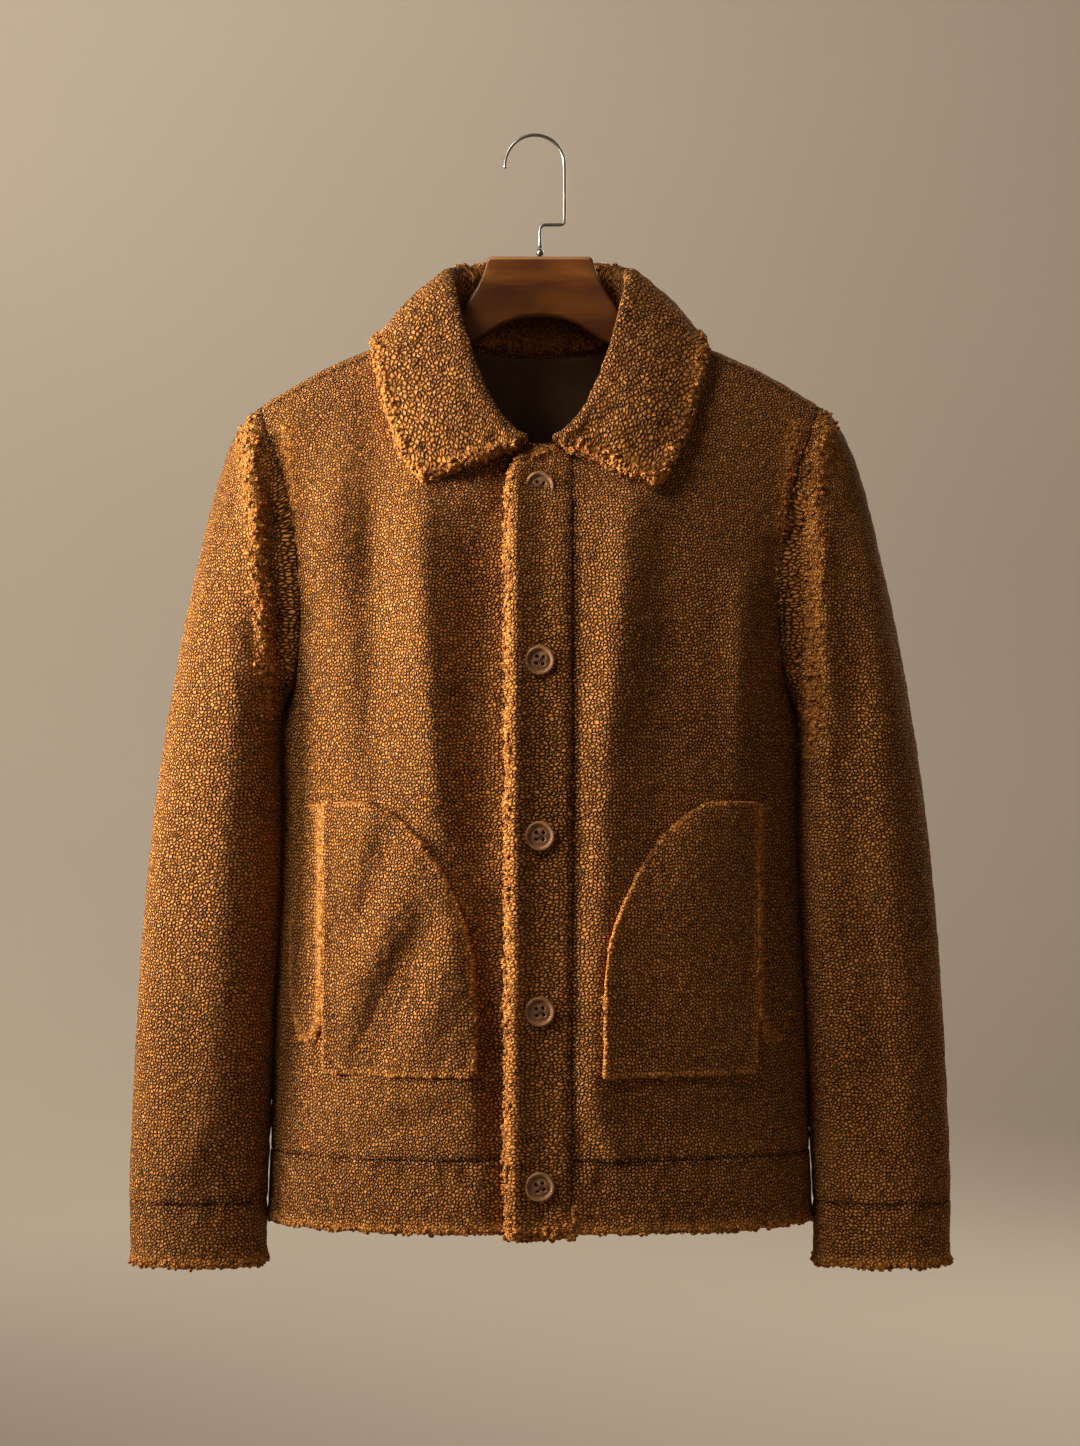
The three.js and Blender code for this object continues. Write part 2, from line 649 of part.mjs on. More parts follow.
function addShell() {
  const back = backGrid();
  const fronts = { left: frontGrid(1), right: frontGrid(-1) };
  const grids = [
    { name: "front_left", points: fronts.left, flip: true, closed: false, wall: fleeceWall },
    { name: "front_right", points: fronts.right, flip: false, closed: false, wall: fleeceWall },
    { name: "back", points: back, flip: false, closed: false, wall: fleeceWall },
  ];
  for (const { word, side } of sides) {
    const front = fronts[word];
    const backColumn = side > 0 ? back[0].length - 1 : 0;
    const frontEdge = front.slice(0, armholeRows + 1).map((line) => line[line.length - 1]);
    const backEdge = back.slice(1, armholeRows + shoulderBackRows).map((line) => line[backColumn]);
    const loop = [...frontEdge, ...backEdge.reverse()];
    const angles = armholeAngles(loop, armholeRows);
    const sleeve = sleeveGrid(side, loop, angles);
    const flip = side < 0;
    grids.push({ name: `sleeve_${word}`, points: sleeve, flip, closed: true, wall: fleeceWall });
    const cuff = cuffGrid(side, angles);
    grids.push({ name: `cuff_${word}`, points: cuff, flip, closed: true, wall: cuffWall });
  }
  const hem = hemGrid(fronts.left, back, fronts.right);
  grids.push({ name: "hem_band", points: hem, flip: true, closed: false, wall: fleeceWall });
  const normalAt = shareNormals(grids);
  for (const grid of grids) {
    const wall = panelWall(grid.points, normalAt, grid.wall, grid.closed);
    addPiece(grid.name, wall, materials.fleece);
  }
}

// The button band: doubled cloth that stands a little proud, with a rounded free edge and corner
function placketTopZ(x) {
  const cornerX = -3;
  const cornerHeight = 26;
  const topZ = -246;
  if (x >= cornerX) return topZ + ((x - cornerX) / (placketHalfWidth - cornerX)) * 3.5;
  const share = Math.min(1, (cornerX - x) / (placketHalfWidth + cornerX));
  return topZ - cornerHeight * (1 - Math.sqrt(1 - share * share));
}

function addPlacket() {
  const halfWidth = placketHalfWidth - seamPull;
  const columns = [
    { x: -halfWidth, proud: -1.2, back: 0.5 },
    { x: -halfWidth + 2.5, proud: placketProud - 0.8, back: 0 },
    { x: -halfWidth + 8, proud: placketProud, back: 0 },
    { x: 0, proud: placketProud, back: 0 },
    { x: halfWidth - 8, proud: placketProud - 0.3, back: 0 },
    { x: halfWidth, proud: 0.6, back: 0 },
  ];
  const rows = 18;
  const outer = [];
  const inner = [];
  for (let row = 0; row <= rows; row++) {
    const place = (column) => THREE.MathUtils.lerp(placketTopZ(column.x), hemZ - 2, row / rows);
    outer.push(columns.map((column) => raised("front", column.x, place(column), column.proud)));
    inner.push(
      columns.map((column) => {
        const depth = placketProud - placketWall + column.back;
        return raised("front", column.x, place(column), depth);
      }),
    );
  }
  addPiece("placket", wallBetween(outer, inner, false), materials.fleece);
}

// Patch pockets: the patch itself, and the strip behind the hand opening at the side
function pocketEdgeX(z) {
  if (z < pocketCornerZ) return pocketInnerX;
  const share = (z - pocketCornerZ) / (pocketTopZ - pocketCornerZ);
  const reach = (1 - share ** pocketCornerPower) ** (1 / pocketCornerPower);
  return pocketCornerX - (pocketCornerX - pocketInnerX) * reach;
}

function raisedWall(placeRows, bottomHeight, heightAt) {
  const outer = placeRows.map((line) => {
    return line.map((place) => raised("front", place.x, place.z, bottomHeight + heightAt(place)));
  });
  const inner = placeRows.map((line) => {
    return line.map((place) => raised("front", place.x, place.z, bottomHeight));
  });
  return wallBetween(outer, inner, false);
}

function addPockets() {
  for (const { word, side } of sides) {
    const patchRows = [];
    for (let row = 0; row <= patchSteps; row++) {
      const share = row / patchSteps;
      const z = THREE.MathUtils.lerp(pocketTopZ, pocketBottomZ, share ** 1.5);
      const innerX = pocketEdgeX(Math.min(z, pocketTopZ));
      patchRows.push(
        [0, 0.06, 0.25, 0.5, 0.75, 0.94, 1].map((across) => ({
          x: side * THREE.MathUtils.lerp(pocketOpeningX, innerX, across),
          z,
          across,
          down: share,
        })),
      );
    }
    const patchHeight = ({ across, down }) => {
      const edge = Math.min(across, 1 - across, down * 1.5, (1 - down) * 1.5);
      return pocketWall - 1.6 + 1.6 * smooth(edge / 0.05) + 2 * smooth(edge / 0.5);
    };
    const carrier = jacket.getObjectByName(`front_${word}`);
    const toward = new THREE.Vector3(0, -seamGap - 0.05, 0);
    const patch = trimmedBy(raisedWall(patchRows, seamGap, patchHeight), carrier, toward);
    addPiece(`pocket_${word}`, patch, materials.fleece);

    const stripRows = [];
    for (let row = 0; row <= 7; row++) {
      const z = THREE.MathUtils.lerp(pocketTopZ - 2, weltBottomZ, row / 7);
      const outerX = row === 7 ? pocketSideX - 7 : pocketSideX;
      const innerX = row === 7 ? pocketOpeningX + 7 : pocketOpeningX + seamGap;
      stripRows.push([0, 0.33, 0.67, 1].map((across) => ({
        x: side * THREE.MathUtils.lerp(outerX, innerX, across),
        z,
      })));
    }
    const sideways = new THREE.Vector3(side * seamGap, -seamGap, 0);
    const strip = trimmedBy(raisedWall(stripRows, seamGap, () => weltWall), carrier, sideways);
    addPiece(`pocket_welt_${word}`, strip, materials.fleece);
  }
}

// Places along the neckline: 0 at the centre back, 2.4 at the shoulder seam, 5 at the front corner
const shoulderPlace = 2.4;
const collarFrontX = 13;
function necklineFrame(place) {
  const pointAt = (value) => {
    if (value < shoulderPlace) {
      const angle = ((value / shoulderPlace) * Math.PI) / 2;
      const x = neckHalfWidth * Math.sin(angle) ** 0.9;
      return overShoulder(x, backNeckStart(x));
    }
    const share = (value - shoulderPlace) / (5 - shoulderPlace);
    const lastAngle = Math.acos((collarFrontX / neckHalfWidth) ** (frontNeckPower / 2));
    const x = neckHalfWidth * Math.cos(lastAngle * share) ** (2 / frontNeckPower);
    return surfacePoint("front", x, frontNeckZ(x));
  };
  const point = pointAt(place);
  const tangent = pointAt(Math.min(5, place + 0.02)).sub(pointAt(Math.max(0, place - 0.02))).normalize();
  const face = point.y < 0 ? "front" : "back";
  const normal = surfaceNormal(face, point.x + 0.6, Math.min(point.z, neckSideZ - 1));
  const intoNeck = normal.clone().cross(tangent).normalize();
  if (intoNeck.dot(new THREE.Vector3(-point.x, -point.y, 40)) < 0) intoNeck.negate();
  return { point, normal, intoNeck };
}

// Keeps a point of the collar at least the margin above the fronts, the shoulder and the back
function restOnBody(point, margin) {
  for (let turn = 0; turn < 4; turn++) {
    const face = point.y < 0 ? "front" : "back";
    const measure = (x, y, z) => {
      const drop = crestZ(x) - z;
      const depthAt = face === "front" ? frontDepthAt : backDepthAt;
      const ratio = Math.min(1, Math.abs(x) / roundXAt(z));
      const rounding = (1 - ratio ** bodyRoundness) ** (1 / bodyRoundness);
      const share = 1 - (1 - rounding) * smooth(Math.max(0, drop) / 90);
      const target = Math.abs(y) / share;
      let low = 0;
      let high = 22;
      for (let i = 0; i < 30; i++) {
        const middle = (low + high) / 2;
        if (depthAt(middle) < target) low = middle;
        else high = middle;
      }
      return drop - low * low;
    };
    const value = measure(point.x, point.y, point.z);
    const step = 0.3;
    const slope = new THREE.Vector3(
      measure(point.x + step, point.y, point.z) - measure(point.x - step, point.y, point.z),
      measure(point.x, point.y + step, point.z) - measure(point.x, point.y - step, point.z),
      measure(point.x, point.y, point.z + step) - measure(point.x, point.y, point.z - step),
    ).divideScalar(2 * step);
    const distance = -value / slope.length();
    if (distance >= margin) break;
    point.addScaledVector(slope.normalize(), -(margin - distance));
  }
  return point;
}

function addCollar() {
  const at = {};
  for (const name of Object.keys(collarRows[0])) {
    at[name] = (value) => {
      const last = collarRows.length - 1;
      const i = Math.min(last - 1, Math.floor(value));
      const t = value - i;
      const row = (n) => {
        const mirrored = name.endsWith("X") || name === "neck";
        if (n < 0) return mirrored ? -collarRows[1][name] : collarRows[1][name];
        return collarRows[Math.min(last, n)][name];
      };
      const [a, b, c, d] = [row(i - 1), row(i), row(i + 1), row(i + 2)];
      return b + 0.5 * t * (c - a + t * (2 * a - 5 * b + 4 * c - d + t * (3 * (b - c) + d - a)));
    };
  }
  const stationProfile = (value, side) => {
    const frame = necklineFrame(at.neck(value));
    const roll = new THREE.Vector3(at.rollX(value), at.rollY(value), at.rollZ(value));
    const edge = new THREE.Vector3(at.edgeX(value), at.edgeY(value), at.edgeZ(value));
    const halfWall = collarWall / 2;
    const lift = roll.clone().sub(frame.point).normalize();
    const upright = Math.abs(lift.dot(frame.normal));
    const seam = frame.point.clone()
      .addScaledVector(frame.intoNeck, 0.7 + (halfWall + 0.4) * upright)
      .addScaledVector(frame.normal, (-fleeceWall / 2) * (1 - upright));
    const out = edge.clone().sub(roll);
    out.addScaledVector(lift, -out.dot(lift)).normalize();
    const turn = roll.clone().addScaledVector(lift, -(collarTurn + halfWall));
    const standTop = turn.clone().addScaledVector(out, -collarTurn);
    const profile = [seam, seam.clone().lerp(standTop, 0.5)];
    for (const degrees of [180, 120, 60, 0]) {
      const angle = THREE.MathUtils.degToRad(degrees);
      const point = turn.clone().addScaledVector(out, collarTurn * Math.cos(angle));
      profile.push(point.addScaledVector(lift, collarTurn * Math.sin(angle)));
    }
    const fallTop = profile[profile.length - 1].clone();
    const bow = out.clone().addScaledVector(lift, 0.4).normalize();
    for (const share of [0.25, 0.5, 0.75, 0.94, 1]) {
      const point = fallTop.clone().lerp(edge, share);
      point.addScaledVector(bow, 7 * Math.sin(Math.PI * share));
      const overPlacket = placketProud * (1 - smooth((point.x - 20) / 20));
      profile.push(restOnBody(point, halfWall + collarRest + overPlacket));
    }
    profile.forEach((point) => {
      point.x *= side;
    });
    return profile;
  };
  const halfStations = [];
  for (let i = 0; i <= collarSteps; i++) halfStations.push((i / collarSteps) * (collarRows.length - 1));
  const stations = [
    ...halfStations.slice(1).reverse().map((value) => stationProfile(value, -1)),
    ...halfStations.map((value) => stationProfile(value, 1)),
  ];
  const normalOf = (row, i) => {
    const next = stations[Math.min(stations.length - 1, row + 1)][i].clone();
    const along = next.sub(stations[Math.max(0, row - 1)][i]);
    const line = stations[row];
    const across = line[Math.min(line.length - 1, i + 1)].clone().sub(line[Math.max(0, i - 1)]);
    return along.cross(across).normalize();
  };
  const offset = (distanceAt) => stations.map((line, row) => {
    return line.map((point, i) => point.clone().addScaledVector(normalOf(row, i), distanceAt(i)));
  });
  const halfWallAt = (i) => (i === stations[0].length - 1 ? collarWall / 2 - 1.3 : collarWall / 2);
  const above = offset((i) => halfWallAt(i));
  const below = offset((i) => -halfWallAt(i));
  addPiece("collar", wallBetween(above, below, false), materials.fleece);
}

// The plain lining that shows inside the back neck
function addNeckLining() {
  const outerDepth = fleeceWall + 3 * seamGap;
  const layer = (depth) => {
    const grid = [];
    for (let row = 0; row <= 5; row++) {
      const line = [];
      for (let i = -4; i <= 4; i++) {
        const x = (i / 4) * liningHalfWidth;
        const startZ = neckSideZ - backNeckStart(x) ** 2 - 4;
        const z = THREE.MathUtils.lerp(startZ, liningBottomZ, row / 5);
        line.push(raised("back", x, z, -depth));
      }
      grid.push(line);
    }
    return grid;
  };
  const lining = wallBetween(layer(outerDepth), layer(outerDepth + liningWall), false);
  addPiece("neck_lining", lining, materials.lining);
}

// Moulded four-hole buttons down the middle of the button band
function toManifold(geometry) {
  const bare = geometry.index ? geometry.clone() : geometry;
  bare.deleteAttribute("normal");
  bare.deleteAttribute("uv");
  const merged = mergeVertices(bare, 1e-4);
  const mesh = new wasm.Mesh({
    numProp: 3,
    vertProperties: Float32Array.from(merged.attributes.position.array),
    triVerts: Uint32Array.from(merged.index.array),
  });
  return new wasm.Manifold(mesh);
}

// Cuts a piece by the cloth that it lies on, moved toward it by the gap between them
function trimmedBy(geometry, carrier, toward) {
  const moved = carrier.geometry.clone().translate(toward.x, toward.y, toward.z);
  return fromManifold(toManifold(geometry).subtract(toManifold(moved)));
}

function fromManifold(solid) {
  const mesh = solid.getMesh();
  const geometry = new THREE.BufferGeometry();
  geometry.setAttribute("position", new THREE.BufferAttribute(Float32Array.from(mesh.vertProperties), 3));
  geometry.setIndex(new THREE.BufferAttribute(Uint32Array.from(mesh.triVerts), 1));
  return geometry;
}

function buttonGeometry() {
  const profile = [
    [0, 0],
    [buttonRadius - 1.8, 0],
    [buttonRadius, 1.4],
    [buttonRadius, 2.6],
    [buttonRadius - 1.4, buttonThickness],
    [buttonRadius - 3.2, buttonThickness - 1.1],
    [0, buttonThickness - 1.3],
  ];
  const disc = new THREE.LatheGeometry(profile.map(([r, h]) => new THREE.Vector2(r, h)), 14);
  let button = toManifold(disc);
  for (let i = 0; i < 4; i++) {
    const angle = Math.PI / 4 + (i * Math.PI) / 2;
    const hole = new THREE.CylinderGeometry(buttonHoleRadius, buttonHoleRadius, 2 * buttonThickness, 6);
    hole.translate(buttonHoleReach * Math.cos(angle), buttonThickness / 2, buttonHoleReach * Math.sin(angle));
    button = button.subtract(toManifold(hole));
  }
  return fromManifold(button);
}

function addButtons() {
  const geometry = buttonGeometry();
  for (let i = 0; i < buttonCount; i++) {
    const z = buttonTopZ - i * buttonSpacing;
    const mesh = addPiece(`button_${i + 1}`, geometry, materials.button);
    mesh.position.copy(raised("front", 0, z, placketProud + seamGap + 0.3));
    const facing = surfaceNormal("front", 0, z);
    mesh.quaternion.setFromUnitVectors(new THREE.Vector3(0, 1, 0), facing);
  }
}

// The wooden hanger: arms that lie just under the shoulders, a raised neck block and bevelled edges
function hangerSection(row, x) {
  const half = row.halfThickness;
  const crown = row.crown;
  const bevel = 2.5;
  const sagAt = (y) => (y * y) / (2 * crown);
  const shoulderSag = sagAt(half) + bevel * 0.6;
  const height = row.top - row.bottom;
  const section = [
    [0, row.top],
    [half * 0.5, row.top - sagAt(half * 0.5)],
    [half - bevel * 0.6, row.top - sagAt(half - bevel * 0.6)],
    [half, row.top - Math.min(shoulderSag, height - bevel - 1)],
    [half, row.bottom + bevel],
    [half - bevel, row.bottom],
  ];
  const right = section.slice(1).reverse().map(([y, z]) => new THREE.Vector3(x, -y, z));
  const left = section.map(([y, z]) => new THREE.Vector3(x, y, z));
  return [...left, ...right];
}

function addHangerBody() {
  const clearance = fleeceWall + 1.3;
  const armRows = [];
  for (const x of [100, 122, 145, 168, 188, 198, hangerEndX]) {
    const end = smooth((x - 185) / (hangerEndX - 185));
    const half = 9.6 + 9 * smooth((x - 90) / 95) - 5 * end;
    const top = crestZ(x) - clearance - 5 * end;
    const thickness = THREE.MathUtils.lerp(28, 36, smooth((x - 100) / 90)) - 9 * end;
    armRows.push({ x, top, bottom: top - thickness, halfThickness: half, crown: 11 });
  }
  const half = [...hangerRows, ...armRows];
  const sections = [
    ...half.slice(1).reverse().map((row) => hangerSection(row, -row.x)),
    ...half.map((row) => hangerSection(row, row.x)),
  ];
  const count = sections[0].length;
  const positions = sections.flat().flatMap((point) => [point.x, point.y, point.z]);
  const index = [];
  for (let s = 0; s < sections.length - 1; s++) {
    for (let i = 0; i < count; i++) {
      const a = s * count + i;
      const b = s * count + ((i + 1) % count);
      index.push(a, b, b + count, a, b + count, a + count);
    }
  }
  for (const start of [0, (sections.length - 1) * count]) {
    const middle = positions.length / 3;
    const centre = new THREE.Vector3();
    for (let i = 0; i < count; i++) centre.add(sections[start / count][i]);
    centre.divideScalar(count);
    positions.push(centre.x, centre.y, centre.z);
    for (let i = 0; i < count; i++) {
      const a = start + i;
      const b = start + ((i + 1) % count);
      if (start === 0) index.push(middle, b, a);
      else index.push(middle, a, b);
    }
  }
  addPiece("hanger_body", solidGeometry(positions, index), materials.wood);
}

// The wire hook: up from the ball, a step to the side, then the round hook
function addHook() {
  const centreZ = -Math.sqrt((hookRadius - wireRadius) ** 2 - hookCentreX ** 2);
  const ferruleZ = hangerTopZ + seamGap + ferruleRadius;
  const stepRadius = 4;
  const path = new THREE.CurvePath();
  const place = (x, z) => new THREE.Vector3(x, 0, z);
  const straight = (from, to) => path.add(new THREE.LineCurve3(from, to));
  const bend = (from, corner, to) => path.add(new THREE.QuadraticBezierCurve3(from, corner, to));
  const foot = place(0, ferruleZ + ferruleRadius + seamGap);
  straight(foot, place(0, hookStepZ - stepRadius));
  bend(place(0, hookStepZ - stepRadius), place(0, hookStepZ), place(stepRadius, hookStepZ));
  straight(place(stepRadius, hookStepZ), place(hookOffsetX - stepRadius, hookStepZ));
  const cornerEnd = place(hookOffsetX, hookStepZ + stepRadius);
  bend(place(hookOffsetX - stepRadius, hookStepZ), place(hookOffsetX, hookStepZ), cornerEnd);
  straight(cornerEnd, place(hookOffsetX, centreZ));
  const arcPoints = [];
  for (let i = 0; i <= 16; i++) {
    const angle = (i / 16) * THREE.MathUtils.degToRad(187);
    arcPoints.push(place(hookCentreX + hookRadius * Math.cos(angle), centreZ + hookRadius * Math.sin(angle)));
  }
  const stations = [];
  for (const curve of path.curves) {
    const steps = curve.type === "LineCurve3" ? 1 : 4;
    for (let i = stations.length ? 1 : 0; i <= steps; i++) stations.push(curve.getPoint(i / steps));
  }
  stations.push(...arcPoints.slice(1));
  const positions = [];
  const index = [];
  const wireSides = 8;
  stations.forEach((station, s) => {
    const before = stations[Math.max(0, s - 1)];
    const after = stations[Math.min(stations.length - 1, s + 1)];
    const tangent = after.clone().sub(before).normalize();
    const across = new THREE.Vector3(0, 1, 0);
    const outward = tangent.clone().cross(across);
    for (let i = 0; i < wireSides; i++) {
      const angle = (i / wireSides) * 2 * Math.PI;
      const point = station.clone();
      point.addScaledVector(across, wireRadius * Math.cos(angle));
      point.addScaledVector(outward, wireRadius * Math.sin(angle));
      positions.push(point.x, point.y, point.z);
    }
  });
  for (let s = 0; s < stations.length - 1; s++) {
    for (let i = 0; i < wireSides; i++) {
      const a = s * wireSides + i;
      const b = s * wireSides + ((i + 1) % wireSides);
      index.push(a, b, b + wireSides, a, b + wireSides, a + wireSides);
    }
  }
  const lastStart = (stations.length - 1) * wireSides;
  for (let i = 1; i < wireSides - 1; i++) {
    index.push(0, i + 1, i);
    index.push(lastStart, lastStart + i, lastStart + i + 1);
  }
  addPiece("hanger_hook", solidGeometry(positions, index), materials.steel);

  const ball = fromManifold(toManifold(new THREE.SphereGeometry(ferruleRadius, 12, 8)));
  const ferrule = addPiece("hanger_ferrule", ball, materials.steel);
  ferrule.position.set(0, 0, ferruleZ);
}

addShell();
addPlacket();
addPockets();
addCollar();
addNeckLining();
addButtons();
addHangerBody();
addHook();

export default jacket;
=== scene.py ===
import math
import random

import bmesh
import bpy
import numpy as np
from mathutils import Matrix, Vector, kdtree, noise
from mathutils.bvhtree import BVHTree


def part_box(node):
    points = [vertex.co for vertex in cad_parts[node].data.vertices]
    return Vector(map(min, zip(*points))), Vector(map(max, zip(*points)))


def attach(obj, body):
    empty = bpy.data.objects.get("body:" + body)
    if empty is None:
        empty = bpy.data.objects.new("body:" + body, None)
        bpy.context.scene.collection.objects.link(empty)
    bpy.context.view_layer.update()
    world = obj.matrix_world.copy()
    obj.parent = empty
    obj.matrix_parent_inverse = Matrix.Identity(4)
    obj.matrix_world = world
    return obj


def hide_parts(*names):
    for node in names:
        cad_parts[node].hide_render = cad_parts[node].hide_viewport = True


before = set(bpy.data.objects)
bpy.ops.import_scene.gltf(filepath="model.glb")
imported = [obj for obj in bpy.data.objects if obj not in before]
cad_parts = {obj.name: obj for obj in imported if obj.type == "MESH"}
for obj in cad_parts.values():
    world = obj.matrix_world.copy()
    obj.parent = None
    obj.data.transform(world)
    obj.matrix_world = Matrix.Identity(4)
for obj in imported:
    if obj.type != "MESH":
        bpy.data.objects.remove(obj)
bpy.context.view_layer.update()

# The camera.
# It looks straight at the jacket from the front, level with its middle, as the picture was taken.

lens = bpy.data.cameras.new("camera")
lens.sensor_width = 36.0
lens.lens = 84.07
camera = bpy.data.objects.new("camera", lens)
camera.location = (0.0, -2.6, -0.451)
camera.rotation_euler = (math.radians(90), 0.0, 0.0)
bpy.context.scene.collection.objects.link(camera)
bpy.context.scene.camera = camera

# The studio.
# A pale, warm floor sweeps up all round into a low wall, seamless, matt and open above.
# A warm key light stands to the front left, high up, with a weak fill and a soft light overhead.

floor_height = -1.25
floor_colour = (0.590, 0.510, 0.420, 1.0)


def linked(name, mesh):
    """An object with this mesh, in the scene"""
    thing = bpy.data.objects.new(name, mesh)
    bpy.context.scene.collection.objects.link(thing)
    return thing


def add_nodes(material):
    """The shader, the output and a short way to add and join nodes"""
    material.use_nodes = True
    tree = material.node_tree
    tree.nodes.clear()
    shader = tree.nodes.new("ShaderNodeBsdfPrincipled")
    output = tree.nodes.new("ShaderNodeOutputMaterial")
    tree.links.new(shader.outputs["BSDF"], output.inputs["Surface"])

    def add(kind, inputs=None, **settings):
        node = tree.nodes.new(kind)
        for key, value in settings.items():
            setattr(node, key, value)
        for key, value in (inputs or {}).items():
            if isinstance(value, bpy.types.NodeSocket):
                tree.links.new(value, node.inputs[key])
            else:
                node.inputs[key].default_value = value
        return node

    def join(source, target):
        tree.links.new(source, target)

    return shader, add, join


def plaster():
    """Matt painted backdrop with a faint unevenness"""
    material = bpy.data.materials.new("backdrop")
    shader, add, join = add_nodes(material)
    place = add("ShaderNodeTexCoord")
    cloud = add("ShaderNodeTexNoise", {"Vector": place.outputs["Object"], "Scale": 0.7, "Detail": 4.0})
    tint = add("ShaderNodeMix", {"Factor": cloud.outputs["Fac"]}, data_type="RGBA")
    tint.inputs[6].default_value = tuple(0.94 * c for c in floor_colour[:3]) + (1.0,)
    tint.inputs[7].default_value = tuple(1.05 * c for c in floor_colour[:3]) + (1.0,)
    join(tint.outputs[2], shader.inputs["Base Color"])
    shader.inputs["Roughness"].default_value = 0.9
    shader.inputs["Specular IOR Level"].default_value = 0.1
    return material


sweep = bmesh.new()
start = sweep.verts.new((0.0, 0.0, floor_height))
outline = [start]
for reach, rise in ((2.6, 0.0), (3.2, 0.02), (3.8, 0.1), (4.3, 0.28), (4.7, 0.6), (4.9, 1.0), (5.0, 1.6), (5.0, 3.4)):
    outline.append(sweep.verts.new((reach, 0.0, floor_height + rise)))
profile = [sweep.edges.new(pair) for pair in zip(outline, outline[1:])]
bmesh.ops.spin(
    sweep, geom=outline + profile, cent=(0, 0, 0), axis=(0, 0, 1), angle=math.tau, steps=64, use_merge=True
)
bmesh.ops.remove_doubles(sweep, verts=sweep.verts, dist=1e-4)
bmesh.ops.recalc_face_normals(sweep, faces=sweep.faces)
floor_mesh = bpy.data.meshes.new("studio_floor")
sweep.to_mesh(floor_mesh)
sweep.free()
floor_mesh.flip_normals()
for face in floor_mesh.polygons:
    face.use_smooth = True
floor = linked("studio_floor", floor_mesh)
floor.data.materials.append(plaster())
soften = floor.modifiers.new("soften", "SUBSURF")
soften.levels = soften.render_levels = 2


def area_light(name, place, aim, size, power, colour):
    """A soft box that looks from place towards aim"""
    lamp = bpy.data.lights.new(name, "AREA")
    lamp.shape = "DISK"
    lamp.size = size
    lamp.energy = power
    lamp.color = colour
    holder = linked(name, lamp)
    holder.location = place
    holder.rotation_euler = (Vector(aim) - Vector(place)).to_track_quat("-Z", "Y").to_euler()
    holder.visible_camera = False
    return lamp


key = area_light("key", (-1.94, -0.36, -0.20), (0, 0, -0.34), 0.80, 8.7, (1.0, 0.92, 0.80))
key.spread = math.radians(45)
high = area_light("high", (-1.2, -1.0, 1.1), (0, 0, -0.37), 0.80, 3.1, (1.0, 0.92, 0.80))
high.spread = math.radians(60)
area_light("fill", (1.2, -2.9, 0.3), (0, 0, -0.5), 1.6, 2.2, (1.0, 0.92, 0.82))
area_light("behind", (1.4, 2.1, 0.7), (0, 0, -0.45), 1.6, 30.0, (1.0, 0.92, 0.82))
area_light("wall_wash", (-1.1, 2.1, 1.7), (-0.75, 5.0, 0.0), 1.6, 70.0, (1.0, 0.94, 0.84))
sky = bpy.data.worlds.new("soft_overhead")
sky.use_nodes = True
sky.node_tree.nodes["Background"].inputs["Color"].default_value = (1.0, 0.94, 0.86, 1.0)
sky.node_tree.nodes["Background"].inputs["Strength"].default_value = 0.07
bpy.context.scene.world = sky
bpy.context.scene.view_settings.view_transform = "Standard"

# The hanger.
# A turned and sanded beech hanger, stained reddish brown and satin lacquered, with a flat block at the
# neck, a bent steel wire hook and the small steel ball where the wire enters the wood.

wood_dark = (0.085, 0.021, 0.003, 1.0)
wood_mid = (0.165, 0.048, 0.005, 1.0)
wood_light = (0.290, 0.100, 0.012, 1.0)


def merged_copy(node):
    """A bmesh of a solid's own surface, with its doubles merged"""
    shape = bmesh.new()
    shape.from_mesh(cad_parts[node].data)
    bmesh.ops.remove_doubles(shape, verts=shape.verts, dist=1e-5)
    bmesh.ops.join_triangles(
        shape, faces=shape.faces, angle_face_threshold=0.8, angle_shape_threshold=0.9
    )
    return shape


def creased(shape, angle, sharpness=1.0):
    """Marks the edges that stay sharp when the shape is subdivided"""
    layer = shape.edges.layers.float.get("crease_edge") or shape.edges.layers.float.new("crease_edge")
    sharp = [e for e in shape.edges if len(e.link_faces) == 2 and e.calc_face_angle(0.0) > angle]
    for edge in sharp:
        edge[layer] = sharpness
    return sharp


def as_piece(name, shape, smooth=True):
    """Turns a bmesh into a piece of the object"""
    mesh = bpy.data.meshes.new(name)
    shape.to_mesh(mesh)
    shape.free()
    for face in mesh.polygons:
        face.use_smooth = smooth
    return linked(name, mesh)


def baked(piece):
    """Applies the piece's modifiers"""
    graph = bpy.context.evaluated_depsgraph_get()
    done = bpy.data.meshes.new_from_object(piece.evaluated_get(graph))
    before = piece.data
    piece.modifiers.clear()
    piece.data = done
    done.name = piece.name
    bpy.data.meshes.remove(before)
    return piece


